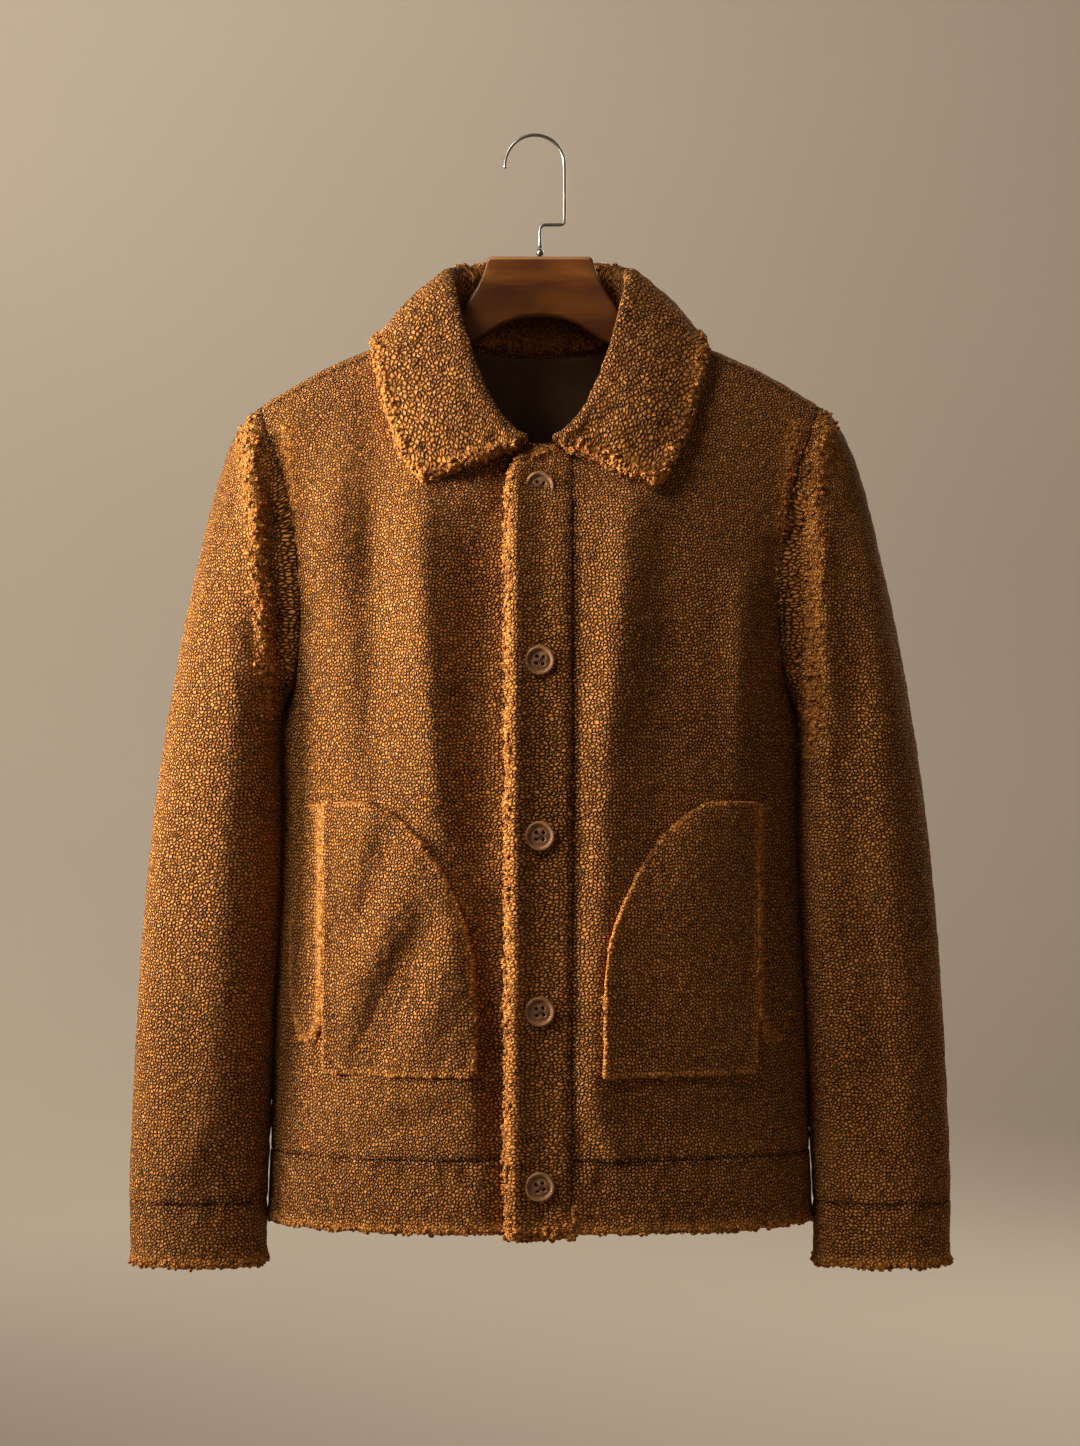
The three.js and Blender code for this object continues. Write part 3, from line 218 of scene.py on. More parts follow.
def lacquered_wood():
    """Stained beech with long figure along the hanger, pores, a painted highlight along its edges and a satin lacquer
    """
    material = bpy.data.materials.new("stained_beech")
    shader, add, join = add_nodes(material)
    place = add("ShaderNodeTexCoord")
    lie = add("ShaderNodeMapping", {"Vector": place.outputs["Object"], "Scale": (5.0, 14.0, 14.0)})
    warp = add(
        "ShaderNodeTexNoise", {"Vector": lie.outputs["Vector"], "Scale": 1.2, "Detail": 4.0, "Distortion": 1.4}
    )
    rings = add(
        "ShaderNodeTexWave",
        {"Vector": lie.outputs["Vector"], "Scale": 0.9, "Distortion": 9.0, "Detail": 3.0, "Detail Scale": 0.8},
        bands_direction="Z",
    )
    fine = add("ShaderNodeMapping", {"Vector": place.outputs["Object"], "Scale": (40.0, 700.0, 700.0)})
    pores = add("ShaderNodeTexNoise", {"Vector": fine.outputs["Vector"], "Scale": 1.0, "Detail": 2.0})
    blend = add("ShaderNodeMix", {"Factor": 0.80, "A": rings.outputs["Fac"], "B": warp.outputs["Fac"]})
    grain = add("ShaderNodeMix", {"Factor": 0.18, "A": blend.outputs[0], "B": pores.outputs["Fac"]})
    stain = add("ShaderNodeValToRGB", {"Fac": grain.outputs[0]})
    stain.color_ramp.elements[0].position = 0.30
    stain.color_ramp.elements[0].color = wood_dark
    stain.color_ramp.elements[1].position = 0.68
    stain.color_ramp.elements[1].color = wood_light
    middle = stain.color_ramp.elements.new(0.50)
    middle.color = wood_mid
    # Sharply convex places turn paler: a painted highlight along the hanger's edges.
    edge = add("ShaderNodeNewGeometry")
    painted_edge_highlight = add(
        "ShaderNodeMapRange",
        {"Value": edge.outputs["Pointiness"], "From Min": 0.53, "From Max": 0.62, "To Max": 0.55},
    )
    stain_and_edge_highlight = add("ShaderNodeMix", {"Factor": painted_edge_highlight.outputs["Result"], 6: stain.outputs["Color"]}, data_type="RGBA")
    stain_and_edge_highlight.inputs[7].default_value = (0.66, 0.33, 0.14, 1.0)
    join(stain_and_edge_highlight.outputs[2], shader.inputs["Base Color"])
    gloss = add("ShaderNodeMapRange", {"Value": pores.outputs["Fac"], "To Min": 0.26, "To Max": 0.42})
    join(gloss.outputs["Result"], shader.inputs["Roughness"])
    relief = add("ShaderNodeBump", {"Height": grain.outputs[0], "Strength": 0.12, "Distance": 0.0006})
    join(relief.outputs["Normal"], shader.inputs["Normal"])
    shader.inputs["Coat Weight"].default_value = 0.06
    shader.inputs["Coat Roughness"].default_value = 0.38
    return material


hanger_shape = merged_copy("hanger_body")
hard = creased(hanger_shape, 0.6, 0.0)
bmesh.ops.bevel(
    hanger_shape,
    geom=hard,
    offset=0.0012,
    offset_type="OFFSET",
    affect="EDGES",
    segments=2,
    profile=0.5,
    material=-1,
    clamp_overlap=True,
)
hanger = as_piece("hanger_wood", hanger_shape)
hanger.data.materials.append(lacquered_wood())
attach(hanger, "root")
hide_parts("hanger_body")


def brushed_wire():
    """Grey steel with fine drawn lines and slightly duller patches"""
    material = bpy.data.materials.new("drawn_steel")
    shader, add, join = add_nodes(material)
    place = add("ShaderNodeTexCoord")
    lines = add("ShaderNodeTexNoise", {"Vector": place.outputs["Object"], "Scale": 1400.0, "Detail": 2.0})
    patches = add("ShaderNodeTexNoise", {"Vector": place.outputs["Object"], "Scale": 60.0, "Detail": 3.0})
    tone = add("ShaderNodeMix", {"Factor": patches.outputs["Fac"]}, data_type="RGBA")
    tone.inputs[6].default_value = (0.26, 0.25, 0.24, 1.0)
    tone.inputs[7].default_value = (0.46, 0.45, 0.43, 1.0)
    join(tone.outputs[2], shader.inputs["Base Color"])
    dull = add("ShaderNodeMapRange", {"Value": lines.outputs["Fac"], "To Min": 0.24, "To Max": 0.42})
    join(dull.outputs["Result"], shader.inputs["Roughness"])
    relief = add("ShaderNodeBump", {"Height": lines.outputs["Fac"], "Strength": 0.15, "Distance": 0.0002})
    join(relief.outputs["Normal"], shader.inputs["Normal"])
    shader.inputs["Metallic"].default_value = 1.0
    return material


steel = brushed_wire()
for node, name in (("hanger_hook", "hook_wire"), ("hanger_ferrule", "hook_ball")):
    wire = merged_copy(node)
    creased(wire, 1.0)
    piece = as_piece(name, wire)
    round_off = piece.modifiers.new("round", "SUBSURF")
    round_off.levels = round_off.render_levels = 2
    piece.data.materials.append(steel)
    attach(piece, "root")
    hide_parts(node)

# The back panel.
# One piece of caramel teddy fleece: a knitted ground with a short looped pile, teased into small curly
# nubs. It is cut in one width, comes over the shoulders and is overlocked to the fronts.

# The pile's colours: pile_mid is the fleece's own caramel; the dark gap colour is painted shade between the nubs, and
# the bright tip colour is a painted highlight on their tops.
pile_gap_painted_shade = (0.030, 0.0085, 0.0022, 1.0)
pile_mid = (0.345, 0.118, 0.021, 1.0)
pile_tip_painted_highlight = (0.720, 0.300, 0.070, 1.0)


def teddy_fleece(name, nub=385.0, depth=0.0021, tuft=0.14, curl=0.0021):
    """Curly looped pile laid out along the cloth, with painted shade between the nubs and a painted highlight on their
    tips
    """
    material = bpy.data.materials.new(name)
    shader, add, join = add_nodes(material)
    place = add("ShaderNodeTexCoord")
    cloth = add("ShaderNodeAttribute", attribute_name="along_cloth")
    edge = add("ShaderNodeAttribute", attribute_name="fluff")
    seam = add("ShaderNodeAttribute", attribute_name="seam")
    stir = add("ShaderNodeTexNoise", {"Vector": cloth.outputs["Vector"], "Scale": 380.0, "Detail": 1.0})
    shift = add("ShaderNodeVectorMath", {0: stir.outputs["Color"], 1: (0.5, 0.5, 0.5)}, operation="SUBTRACT")
    small = add("ShaderNodeVectorMath", {0: shift.outputs["Vector"], "Scale": curl}, operation="SCALE")
    curly = add("ShaderNodeVectorMath", {0: cloth.outputs["Vector"], 1: small.outputs["Vector"]}, operation="ADD")
    flat = {"Vector": curly.outputs["Vector"]}
    nubs = add(
        "ShaderNodeTexVoronoi", {**flat, "Scale": nub, "Randomness": 0.9}, voronoi_dimensions="2D", feature="DISTANCE_TO_EDGE"
    )
    tufts = add("ShaderNodeTexVoronoi", {**flat, "Scale": 0.52 * nub, "Randomness": 1.0}, voronoi_dimensions="2D")
    fine = add("ShaderNodeMapRange", {"Value": nubs.outputs["Distance"], "From Min": 0.0, "From Max": 0.36, "To Min": 0.0, "To Max": 1.0})
    thick = add("ShaderNodeMapRange", {"Value": tufts.outputs["Distance"], "From Min": 0.05, "From Max": 0.85, "To Min": 1.0, "To Max": 0.0})
    share = add("ShaderNodeMapRange", {"Value": edge.outputs["Fac"], "To Min": tuft, "To Max": 0.50})
    pile = add("ShaderNodeMix", {"Factor": share.outputs["Result"], "A": fine.outputs["Result"], "B": thick.outputs["Result"]})
    loops = add("ShaderNodeTexNoise", {"Vector": place.outputs["Object"], "Scale": 900.0, "Detail": 2.0, "Roughness": 0.6})
    drift = add("ShaderNodeTexNoise", {"Vector": place.outputs["Object"], "Scale": 14.0, "Detail": 4.0})
    height = add("ShaderNodeMix", {"Factor": 0.10, "A": pile.outputs[0], "B": loops.outputs["Fac"]})
    # Fluffy edges sit higher on the colour ramp: painted rim light on the fluff.
    lift = add("ShaderNodeMath", {0: edge.outputs["Fac"], 1: 0.16, 2: height.outputs[0]}, operation="MULTIPLY_ADD")
    # Near the sewn seams the colour drops down the ramp: painted shade along the seams.
    painted_seam_shade = add("ShaderNodeMath", {0: seam.outputs["Fac"], 1: -0.20, 2: lift.outputs["Value"]}, operation="MULTIPLY_ADD")
    wander = add("ShaderNodeMapRange", {"Value": drift.outputs["Fac"], "From Min": 0.3, "From Max": 0.7, "To Min": -0.05, "To Max": 0.05})
    level = add("ShaderNodeMath", {0: painted_seam_shade.outputs["Value"], 1: wander.outputs["Result"]}, operation="ADD")
    # The ramp runs from painted shade in the gaps, through the fleece's own caramel, to a painted highlight on the nub
    # tips.
    painted_pile_shading = add("ShaderNodeValToRGB", {"Fac": level.outputs["Value"]})
    painted_pile_shading.color_ramp.elements[0].position = 0.20
    painted_pile_shading.color_ramp.elements[0].color = pile_gap_painted_shade
    painted_pile_shading.color_ramp.elements[1].position = 0.78
    painted_pile_shading.color_ramp.elements[1].color = pile_tip_painted_highlight
    half = painted_pile_shading.color_ramp.elements.new(0.54)
    half.color = pile_mid
    join(painted_pile_shading.outputs["Color"], shader.inputs["Base Color"])
    relief = add("ShaderNodeBump", {"Height": height.outputs[0], "Strength": 1.0, "Distance": depth})
    join(relief.outputs["Normal"], shader.inputs["Normal"])
    shader.inputs["Roughness"].default_value = 0.92
    shader.inputs["Specular IOR Level"].default_value = 0.12
    shader.inputs["Sheen Weight"].default_value = 0.22
    shader.inputs["Sheen Roughness"].default_value = 0.45
    shader.inputs["Sheen Tint"].default_value = (1.0, 0.55, 0.25, 1.0)
    return material


def points_of(mesh):
    """The mesh's points and their normals as arrays"""
    places = np.empty(3 * len(mesh.vertices))
    mesh.vertices.foreach_get("co", places)
    normals = np.empty(3 * len(mesh.vertices))
    mesh.vertices.foreach_get("normal", normals)
    return places.reshape(-1, 3), normals.reshape(-1, 3)


def nearness(places, rim, reach):
    """1 on the rim, falling smoothly to 0 a few reaches away"""
    if not rim:
        return np.zeros(len(places))
    tree = kdtree.KDTree(len(rim))
    for number, point in enumerate(rim):
        tree.insert(point, number)
    tree.balance()
    far = np.array([tree.find(point)[2] for point in places])
    return np.exp(-((far / reach) ** 2))


def smooth_step(values, low, high):
    """0 up to low, 1 from high on, and a soft slope between them"""
    t = np.clip((values - low) / (high - low), 0.0, 1.0)
    return t * t * (3.0 - 2.0 * t)


def body_cloth(x, y, z):
    """How far along the body's cloth each point lies, sideways and upwards"""
    depth = 0.6 * (0.08 - np.abs(y))
    return x + np.tanh(x / 0.05) * depth, z + depth * smooth_step(z, -0.42, -0.20)


def pressed(places, folds, towards=-1.0):
    """Moves the points of a hanging panel forwards over each ridge and back in each valley"""
    flat = places[:, [0, 2]] * 1000.0
    shift = np.zeros(len(places))
    for (x0, z0), (x1, z1), height, width in folds:
        a = np.array([x0, z0], float)
        along = np.array([x1, z1], float) - a
        t = np.clip(((flat - a) @ along) / (along @ along), 0.0, 1.0)
        away = np.linalg.norm(flat - a - t[:, None] * along, axis=1)
        ends = np.sin(np.pi * np.clip(0.12 + 0.76 * t, 0, 1)) ** 0.6
        shift += height * np.exp(-((away / width) ** 2)) * ends
    places[:, 1] += towards * shift / 1000.0


def fleece_piece(name, node, grain, free, folds=(), pile=0.0009, fluffed=0.0012, reach=0.006, shaped=None, tufty=(), cloth=body_cloth):
    """A fleece panel: the sewn wall rounded to an even grain, folded, its pile raised, its seams drawn in and marked
    for painted shade
    """
    wall = merged_copy(node)
    sharp = creased(wall, 0.9)
    open_rim, sewn_rim = [], []
    for edge in sharp:
        a, b = (v.co.copy() for v in edge.verts)
        steps = max(1, round((b - a).length / 0.0025))
        for step in range(steps):
            point = a.lerp(b, step / steps)
            (open_rim if free(point) else sewn_rim).append(point)
    piece = as_piece(name, wall)
    rounder = piece.modifiers.new("rounder", "SUBSURF")
    rounder.levels = rounder.render_levels = 2
    thicker = piece.modifiers.new("thicker", "DISPLACE")
    thicker.mid_level = 0.0
    thicker.strength = 0.0007
    even = piece.modifiers.new("even", "REMESH")
    even.mode = "VOXEL"
    even.voxel_size = grain
    baked(piece)
    mesh = piece.data
    for face in mesh.polygons:
        face.use_smooth = True
    places, normals = points_of(mesh)
    fluff = nearness(places, open_rim, reach)
    outer = np.clip(-normals[:, 1] * 2.0, 0.0, 1.0)
    # The fluff of the tufty lines also brightens them in the fleece material, as painted light.
    for (x0, z0), (x1, z1), width in tufty:
        a = np.array([x0, z0]) / 1000.0
        along = np.array([x1 - x0, z1 - z0]) / 1000.0
        flat = places[:, [0, 2]]
        t = np.clip(((flat - a) @ along) / (along @ along), 0.0, 1.0)
        away = np.linalg.norm(flat - a - t[:, None] * along, axis=1)
        fluff = np.maximum(fluff, 0.9 * outer * np.exp(-((away * 1000.0 / width) ** 2)))
    # seam: nearness to the sewn edges, a little uneven; it sinks the pile slightly, and the fleece material darkens it
    # as painted shade.
    drawn = np.array([0.75 + 0.9 * noise.noise(Vector(p) * 95.0) for p in places])
    seam = nearness(places, sewn_rim, 0.0036) * np.clip(drawn, 0.2, 1.0)
    lift = np.array(
        [
            0.6 * noise.noise(Vector(p) * 60.0)
            + 0.7 * noise.noise(Vector(p) * 150.0 + Vector((7.0, 3.0, 1.0)))
            for p in places
        ]
    )
    laid = np.zeros((len(places), 3), np.float32)
    laid[:, 0], laid[:, 1] = cloth(*places.T)
    rise = pile * lift * (1.0 - 0.5 * seam) + fluffed * fluff * (1.0 + 0.6 * lift) - 0.0002 * seam
    places += normals * rise[:, None]
    if folds:
        pressed(places, folds)
    if shaped:
        shaped(places)
    mesh.vertices.foreach_set("co", places.ravel())
    for word, values in (("fluff", fluff), ("seam", seam)):
        layer = mesh.attributes.new(word, "FLOAT", "POINT")
        layer.data.foreach_set("value", values.astype(np.float32))
    layer = mesh.attributes.new("along_cloth", "FLOAT_VECTOR", "POINT")
    layer.data.foreach_set("vector", laid.ravel())
    mesh.update()
    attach(piece, "root")
    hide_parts(node)
    return piece


def nubs_on(piece, share, size, least=0.75, seed=3):
    """Loose curls of pile that stand out along the fluffy edges of a piece"""
    mesh = piece.data
    places, normals = points_of(mesh)
    fluff = np.empty(len(places), np.float32)
    mesh.attributes["fluff"].data.foreach_get("value", fluff)
    chance = random.Random(seed)
    pattern = bmesh.new()
    bmesh.ops.create_icosphere(pattern, subdivisions=1, radius=1.0)
    curl = bpy.data.meshes.new("curl")
    pattern.to_mesh(curl)
    pattern.free()
    crowd = bmesh.new()
    for number in np.flatnonzero(fluff > least):
        if chance.random() > share * fluff[number]:
            continue
        turn = Matrix.Rotation(chance.uniform(0, math.tau), 4, "X") @ Matrix.Rotation(chance.uniform(0, math.tau), 4, "Z")
        scale = size * chance.uniform(0.7, 1.25)
        stretch = Matrix.Diagonal((1.35 * scale, 1.0 * scale, 0.85 * scale, 1.0))
        spot = Vector(places[number]) + Vector(normals[number]) * chance.uniform(-0.45, 0.35) * size
        there = Matrix.Translation(spot) @ turn @ stretch
        curl.transform(there)
        crowd.from_mesh(curl)
        curl.transform(there.inverted())
    bpy.data.meshes.remove(curl)
    curls = as_piece(f"{piece.name}_curls", crowd)
    # Every curl counts as full fluff, so the fleece material paints rim light on it.
    layer = curls.data.attributes.new("fluff", "FLOAT", "POINT")
    layer.data.foreach_set("value", np.full(len(curls.data.vertices), 1.0, np.float32))
    around, _ = points_of(curls.data)
    layer = curls.data.attributes.new("along_cloth", "FLOAT_VECTOR", "POINT")
    layer.data.foreach_set("vector", (around @ np.array([[1, 0, 0], [1, 0, 0], [0, 1, 0]])).astype(np.float32).ravel())
    curls.data.materials.append(piece.data.materials[0])
    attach(curls, "root")
    return curls


def beside_sleeve(places):
    """The side of the body swells out to lie against the sleeve, and the hem seam puckers"""
    x, z = places[:, 0], places[:, 2]
    level = smooth_step(-z, 0.425, 0.462) * (1.0 - 0.75 * smooth_step(-z, 0.62, 0.79))
    places[:, 0] += np.sign(x) * 0.0085 * smooth_step(np.abs(x), 0.145, 0.188) * level
    near_hem = np.exp(-(((z + 0.777 + 0.012 * (1 - np.abs(x) / 0.2)) / 0.011) ** 2))
    ripple = np.array([noise.noise(Vector((a * 75.0, 0.0, b * 20.0))) for a, b in zip(x, z)])
    places[:, 1] += 0.0026 * near_hem * ripple


fleece = teddy_fleece("teddy_fleece")
back = fleece_piece("back_panel", "back", 0.0029, lambda p: False, shaped=beside_sleeve)
back.data.materials.append(fleece)

# The two fronts.
# Cut from the same fleece, each from the side seam to the front edge. They hang from the shoulder in
# long soft folds that run down from the collar and the armholes.

front_folds = [
    ((-147, -215), (-166, -345), 3.0, 15),
    ((-94, -250), (-79, -520), 6.5, 16),
    ((-126, -290), (-124, -500), -5.0, 13),
    ((-45, -300), (-52, -450), -7.5, 17),
    ((-50, -440), (-40, -620), -7.5, 16),
    ((-38, -590), (-31, -790), -8.0, 11),
    ((67, -300), (54, -450), 8.0, 17),
    ((52, -440), (38, -735), 4.8, 15),
    ((38, -715), (62, -790), 4.0, 12),
    ((-150, -500), (-166, -760), -2.0, 14),
    ((26, -290), (26, -780), -3.0, 7),
    ((97, -290), (97, -395), -3.5, 15),
    ((96, -400), (88, -560), -3.0, 14),
    ((152, -350), (150, -500), 10.5, 14),
    ((180, -320), (184, -700), -6.0, 11),
    ((-177, -455), (-179, -790), -6.0, 11),
    ((-120, -735), (-20, -712), 2.0, 12),
    ((-150, -770), (-60, -735), -2.0, 10),
    ((60, -740), (150, -765), -2.5, 11),
    ((40, -705), (130, -728), 2.0, 10),
]
seam_tufts = [
    ((193, -225), (186, -300), 7),
    ((186, -300), (184, -400), 6),
    ((-193, -228), (-187, -300), 6),
    ((-187, -300), (-185, -390), 5),
]
front_left = fleece_piece(
    "front_panel_left", "front_left", 0.0024, lambda p: False, front_folds, shaped=beside_sleeve, tufty=seam_tufts
)
front_right = fleece_piece(
    "front_panel_right", "front_right", 0.0024, lambda p: False, front_folds, shaped=beside_sleeve, tufty=seam_tufts
)
for piece, width in ((front_left, 0.215), (front_right, 0.255)):
    piece.data.materials.append(fleece)
    curls = [nubs_on(piece, 0.2, 0.0017, 0.3)] if piece is front_left else []

# The pockets.
# A large D-shaped patch of the same fleece on each front, curved towards the middle, open at the side,
# with a turned strip sewn behind the opening.

opening_folds = [
    ((-163, -505), (-163, -705), 3.5, 5),
    ((-171, -520), (-171, -700), -1.5, 5),
    ((165, -505), (165, -705), 2.5, 4.5),
    ((172, -520), (172, -700), -2.5, 3),
]
pocket_folds = [
    ((-112, -535), (-138, -610), -7.0, 13),
    ((-108, -590), (-150, -665), 3.0, 14),
    ((-86, -600), (-132, -706), -8.0, 15),
    ((-66, -620), (-90, -700), 2.5, 12),
]
for side, word in ((1, "left"), (-1, "right")):
    patch = fleece_piece(
        f"pocket_patch_{word}",
        f"pocket_{word}",
        0.0017,
        lambda p: True,
        front_folds + opening_folds + (pocket_folds if side < 0 else []),
        fluffed=0.0010,
        reach=0.0028,
    )
    patch.data.materials.append(fleece)
    curls = nubs_on(patch, 0.07, 0.0012)
    strip = fleece_piece(
        f"pocket_strip_{word}", f"pocket_welt_{word}", 0.0017, lambda p: True, front_folds + opening_folds
    )
    strip.data.materials.append(fleece)

# The sleeves.
# One piece of fleece each, closed under the arm and set into the armhole. They hang empty beside the
# body, with a long dark hollow next to the armhole seam.

sleeve_tufts = {
    "right": [((-226, -212), (-216, -300), 9), ((-216, -300), (-205, -440), 8)],
    "left": [((222, -212), (206, -290), 9), ((206, -290), (205, -470), 9)],
}
sleeve_folds = {
    "right": [
        ((-223, -222), (-213, -300), 7.0, 9),
        ((-214, -290), (-202, -410), 6.5, 9),
        ((-236, -250), (-250, -420), -3.0, 12),
        ((-262, -420), (-285, -640), -2.5, 18),
        ((-222, -430), (-240, -720), 6.0, 22),
        ((-240, -745), (-285, -800), 2.0, 12),
    ],
    "left": [
        ((217, -222), (204, -290), 6.0, 9),
        ((208, -285), (219, -610), 8.0, 11),
        ((230, -300), (240, -470), -4.0, 12),
        ((256, -400), (272, -620), 2.5, 16),
        ((222, -520), (236, -700), 3.0, 13),
        ((250, -600), (262, -780), -3.0, 14),
    ],
}


def sleeve_cloth(x, y, z):
    """How far round the sleeve each point lies, and how high"""
    out = np.abs(x) - 0.232 - 0.03 * smooth_step(-z, 0.4, 0.85)
    return 0.055 * np.arctan2(y, out) * np.sign(x), z - (np.hypot(out, y) - 0.04) * smooth_step(z, -0.34, -0.22)


def beside_body(places):
    """The inner side of the sleeve leans on the body, and the cuff seam puckers"""
    x, z = places[:, 0], places[:, 2]
    near_cuff = np.exp(-(((z + 0.8145) / 0.010) ** 2))
    ripple = np.array([noise.noise(Vector((a * 85.0, 0.0, b * 25.0))) for a, b in zip(x, z)])
    places[:, 1] += 0.0026 * near_cuff * ripple
    middle = 0.232 + 0.03 * smooth_step(-z, 0.4, 0.85)
    inner = 1.0 - smooth_step(np.abs(x), middle - 0.045, middle)
    places[:, 0] -= np.sign(x) * 0.0042 * inner * smooth_step(-z, 0.430, 0.468)


def sleeve_shape(folds):
    """Presses the folds into the front of a sleeve alone"""

    def shaped(places):
        rest = places[:, 1].copy()
        pressed(places, folds)
        front = 1.0 - smooth_step(rest, -0.03, 0.005)
        places[:, 1] = rest + (places[:, 1] - rest) * front
        beside_body(places)

    return shaped


for side, word in ((1, "left"), (-1, "right")):
    sleeve = fleece_piece(
        f"sleeve_cloth_{word}",
        f"sleeve_{word}",
        0.0026,
        lambda p: False,
        shaped=sleeve_shape(sleeve_folds[word]),
        tufty=sleeve_tufts[word],
        cloth=sleeve_cloth,
    )
    sleeve.data.materials.append(fleece)
    curls = nubs_on(sleeve, 0.24, 0.0019, 0.25)

# The cuffs.
# A folded band of fleece closes each sleeve, sewn on with a slight pucker and fluffy along its fold.

for side, word in ((1, "left"), (-1, "right")):
    cuff = fleece_piece(f"cuff_band_{word}", f"cuff_{word}", 0.0018, lambda p: p.z < -0.84, fluffed=0.0016, shaped=beside_body, cloth=sleeve_cloth)
    cuff.data.materials.append(fleece)
    curls = nubs_on(cuff, 0.20, 0.0016)

# The hem band.
# A folded band of fleece runs round the lower edge from the placket to the underlap.

hem = fleece_piece("hem_fold", "hem_band", 0.0019, lambda p: p.z < -0.812, fluffed=0.0016, shaped=beside_sleeve)
hem.data.materials.append(fleece)
hem_curls = nubs_on(hem, 0.16, 0.0016)

# The collar.
# A turned-down collar of double fleece. Its stand is sewn round the neck and its fall lies over the
# shoulders; the pile is longer and stands in thick upright clumps.



def collar_cloth(x, y, z):
    """How far round the neck each point lies, and how far down the collar's fall"""
    return 0.125 * np.arctan2(x, -y), 0.64 * (np.hypot(x, y) - z)


thick_fleece = teddy_fleece("teddy_fleece_collar", nub=320.0, depth=0.0030, tuft=0.24, curl=0.0026)
collar = fleece_piece(
    "collar_fold",
    "collar",
    0.0017,
    lambda p: abs(p.x) > 0.078 or p.z < -0.243 or p.y > 0.02,
    pile=0.0012, fluffed=0.0028, reach=0.0085, cloth=collar_cloth)
collar.data.materials.append(thick_fleece)
collar_curls = nubs_on(collar, 0.26, 0.0019, 0.6)

# The neck lining.
# A plain piece of dark suede-like lining inside the back neck.


def suede():
    """Short, soft nap of the lining, dark olive brown, with brushed patches"""
    material = bpy.data.materials.new("suede_lining")
    shader, add, join = add_nodes(material)
    place = add("ShaderNodeTexCoord")
    nap = add("ShaderNodeTexNoise", {"Vector": place.outputs["Object"], "Scale": 1500.0, "Detail": 3.0})
    brushed = add("ShaderNodeTexNoise", {"Vector": place.outputs["Object"], "Scale": 35.0, "Detail": 3.0})
    mixed = add("ShaderNodeMix", {"Factor": 0.6, "A": nap.outputs["Fac"], "B": brushed.outputs["Fac"]})
    tone = add("ShaderNodeValToRGB", {"Fac": mixed.outputs[0]})
    tone.color_ramp.elements[0].position = 0.3
    tone.color_ramp.elements[0].color = (0.100, 0.048, 0.018, 1.0)
    tone.color_ramp.elements[1].position = 0.7
    tone.color_ramp.elements[1].color = (0.190, 0.095, 0.036, 1.0)
    join(tone.outputs["Color"], shader.inputs["Base Color"])
    relief = add("ShaderNodeBump", {"Height": nap.outputs["Fac"], "Strength": 0.4, "Distance": 0.0006})
    join(relief.outputs["Normal"], shader.inputs["Normal"])
    shader.inputs["Roughness"].default_value = 0.85
    shader.inputs["Sheen Weight"].default_value = 0.3
    return material


inner = merged_copy("neck_lining")
creased(inner, 0.9)
lining = as_piece("neck_lining_cloth", inner)
rounder = lining.modifiers.new("rounder", "SUBSURF")
rounder.levels = rounder.render_levels = 3
baked(lining)
lining.data.materials.append(suede())
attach(lining, "root")
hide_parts("neck_lining")

# The button band.
# A doubled strip of fleece down the wearer's left front. Its free edge rolls forwards and catches the
# light, and its other edge is topstitched to the front.

band_folds = [((-18, -262), (-18, -850), 6.5, 8.5), ((0, -262), (0, -845), -1.2, 7), ((24, -300), (24, -845), -1.2, 3)]
band = fleece_piece(
    "button_band", "placket", 0.0017, lambda p: p.x < 0.01 or p.z < -0.825, band_folds, fluffed=0.0020, reach=0.008
)
band.data.materials.append(fleece)
band_curls = nubs_on(band, 0.26, 0.0019, 0.55)

# The buttons.
# Five moulded brown buttons with a raised rim, a dished middle and four holes, each sewn on with
# brown thread.

button_rise = 0.0038


def moulded_horn():
    """Brown resin with faint swirls and a soft polish"""
    material = bpy.data.materials.new("moulded_button")
    shader, add, join = add_nodes(material)
    place = add("ShaderNodeTexCoord")
    swirl = add("ShaderNodeTexNoise", {"Vector": place.outputs["Object"], "Scale": 120.0, "Detail": 4.0, "Distortion": 1.5})
    tone = add("ShaderNodeValToRGB", {"Fac": swirl.outputs["Fac"]})
    tone.color_ramp.elements[0].position = 0.3
    tone.color_ramp.elements[0].color = (0.190, 0.086, 0.036, 1.0)
    tone.color_ramp.elements[1].position = 0.75
    tone.color_ramp.elements[1].color = (0.400, 0.200, 0.090, 1.0)
    join(tone.outputs["Color"], shader.inputs["Base Color"])
    grit = add("ShaderNodeTexNoise", {"Vector": place.outputs["Object"], "Scale": 1800.0, "Detail": 2.0})
    dull = add("ShaderNodeMapRange", {"Value": grit.outputs["Fac"], "To Min": 0.44, "To Max": 0.62})
    join(dull.outputs["Result"], shader.inputs["Roughness"])
    relief = add("ShaderNodeBump", {"Height": grit.outputs["Fac"], "Strength": 0.08, "Distance": 0.0003})
    join(relief.outputs["Normal"], shader.inputs["Normal"])
    shader.inputs["Specular IOR Level"].default_value = 0.3
    return material


def sewing_thread():
    """Twisted brown thread"""
    material = bpy.data.materials.new("button_thread")
    shader, add, join = add_nodes(material)
    place = add("ShaderNodeTexCoord")
    twist = add("ShaderNodeTexWave", {"Vector": place.outputs["Object"], "Scale": 900.0, "Distortion": 1.0})
    tone = add("ShaderNodeMix", {"Factor": twist.outputs["Fac"]}, data_type="RGBA")
    tone.inputs[6].default_value = (0.055, 0.022, 0.010, 1.0)
    tone.inputs[7].default_value = (0.200, 0.085, 0.035, 1.0)
    join(tone.outputs[2], shader.inputs["Base Color"])
    shader.inputs["Roughness"].default_value = 0.7
    return material


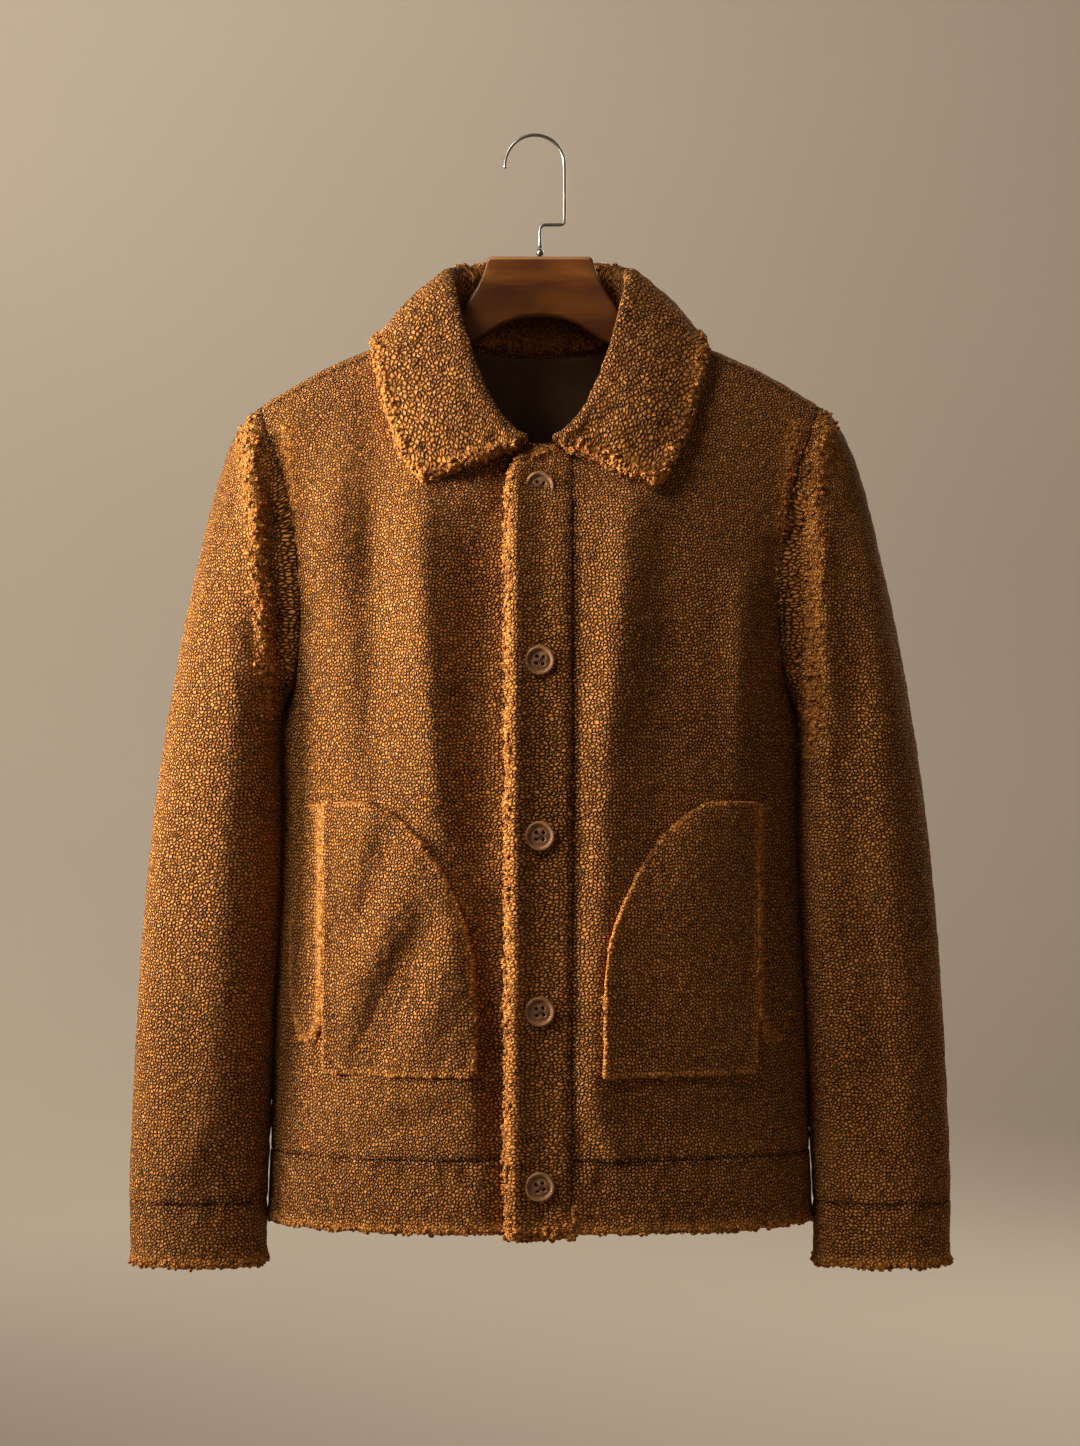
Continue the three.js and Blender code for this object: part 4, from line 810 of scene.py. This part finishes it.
button_finish = moulded_horn()
thread_finish = sewing_thread()
for number in range(1, 6):
    low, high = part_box(f"button_{number}")
    middle = (Vector(low) + Vector(high)) / 2
    radius = (high[0] - low[0]) / 2
    back_y = high[1]
    disc = bmesh.new()
    turned = [
        (0.0, 0.0), (0.88, 0.0), (0.99, 0.10), (1.0, 0.45), (0.985, 0.80), (0.93, 0.98), (0.86, 1.0),
        (0.79, 0.92), (0.73, 0.66), (0.67, 0.48), (0.60, 0.50), (0.53, 0.60), (0.30, 0.62), (0.0, 0.62),
    ]
    ring = [disc.verts.new((r * radius, back_y - h * button_rise, 0.0)) for r, h in turned]
    edges = [disc.edges.new(pair) for pair in zip(ring, ring[1:])]
    bmesh.ops.spin(
        disc, geom=ring + edges, cent=(0, 0, 0), axis=(0, 1, 0), angle=math.tau, steps=48, use_merge=True
    )
    bmesh.ops.remove_doubles(disc, verts=disc.verts, dist=2e-5)
    bmesh.ops.recalc_face_normals(disc, faces=disc.faces)
    bmesh.ops.translate(disc, verts=disc.verts, vec=(middle.x, 0.0, middle.z))
    button = as_piece(f"button_disc_{number}", disc)
    drill = bmesh.new()
    turn = 0.12 * (number - 3)
    spots = []
    for quarter in range(4):
        angle = math.pi / 4 + turn + quarter * math.pi / 2
        spot = middle + Vector((math.cos(angle), 0.0, math.sin(angle))) * 0.0034
        spots.append(spot)
        bmesh.ops.create_cone(
            drill,
            cap_ends=True,
            segments=16,
            radius1=0.0014,
            radius2=0.0014,
            depth=0.02,
            matrix=Matrix.Translation(spot) @ Matrix.Rotation(math.pi / 2, 4, "X"),
        )
    drills = as_piece(f"drill_{number}", drill)
    holes = button.modifiers.new("holes", "BOOLEAN")
    holes.operation = "DIFFERENCE"
    holes.solver = "EXACT"
    holes.object = drills
    baked(button)
    bpy.data.objects.remove(drills)
    button.data.materials.append(button_finish)
    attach(button, "root")
    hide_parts(f"button_{number}")
    stitch = bmesh.new()
    floor_y = back_y - 0.62 * button_rise
    for first, second in ((0, 2), (1, 3)):
        a, b = spots[first], spots[second]
        for lane in (-0.4, 0.4):
            sideways = (b - a).normalized().cross(Vector((0, 1, 0))) * lane * 0.0011
            start_at = Vector((a.x, floor_y, a.z)) + sideways
            end_at = Vector((b.x, floor_y, b.z)) + sideways
            bmesh.ops.create_uvsphere(
                stitch,
                u_segments=10,
                v_segments=8,
                radius=1.0,
                matrix=Matrix.Translation((start_at + end_at) / 2)
                @ Matrix.Rotation(-math.atan2(b.z - a.z, b.x - a.x), 4, "Y")
                @ Matrix.Diagonal((0.0034, 0.0005, 0.00032, 1.0)),
            )
    thread = as_piece(f"button_thread_{number}", stitch)
    thread.data.materials.append(thread_finish)
    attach(thread, "root")
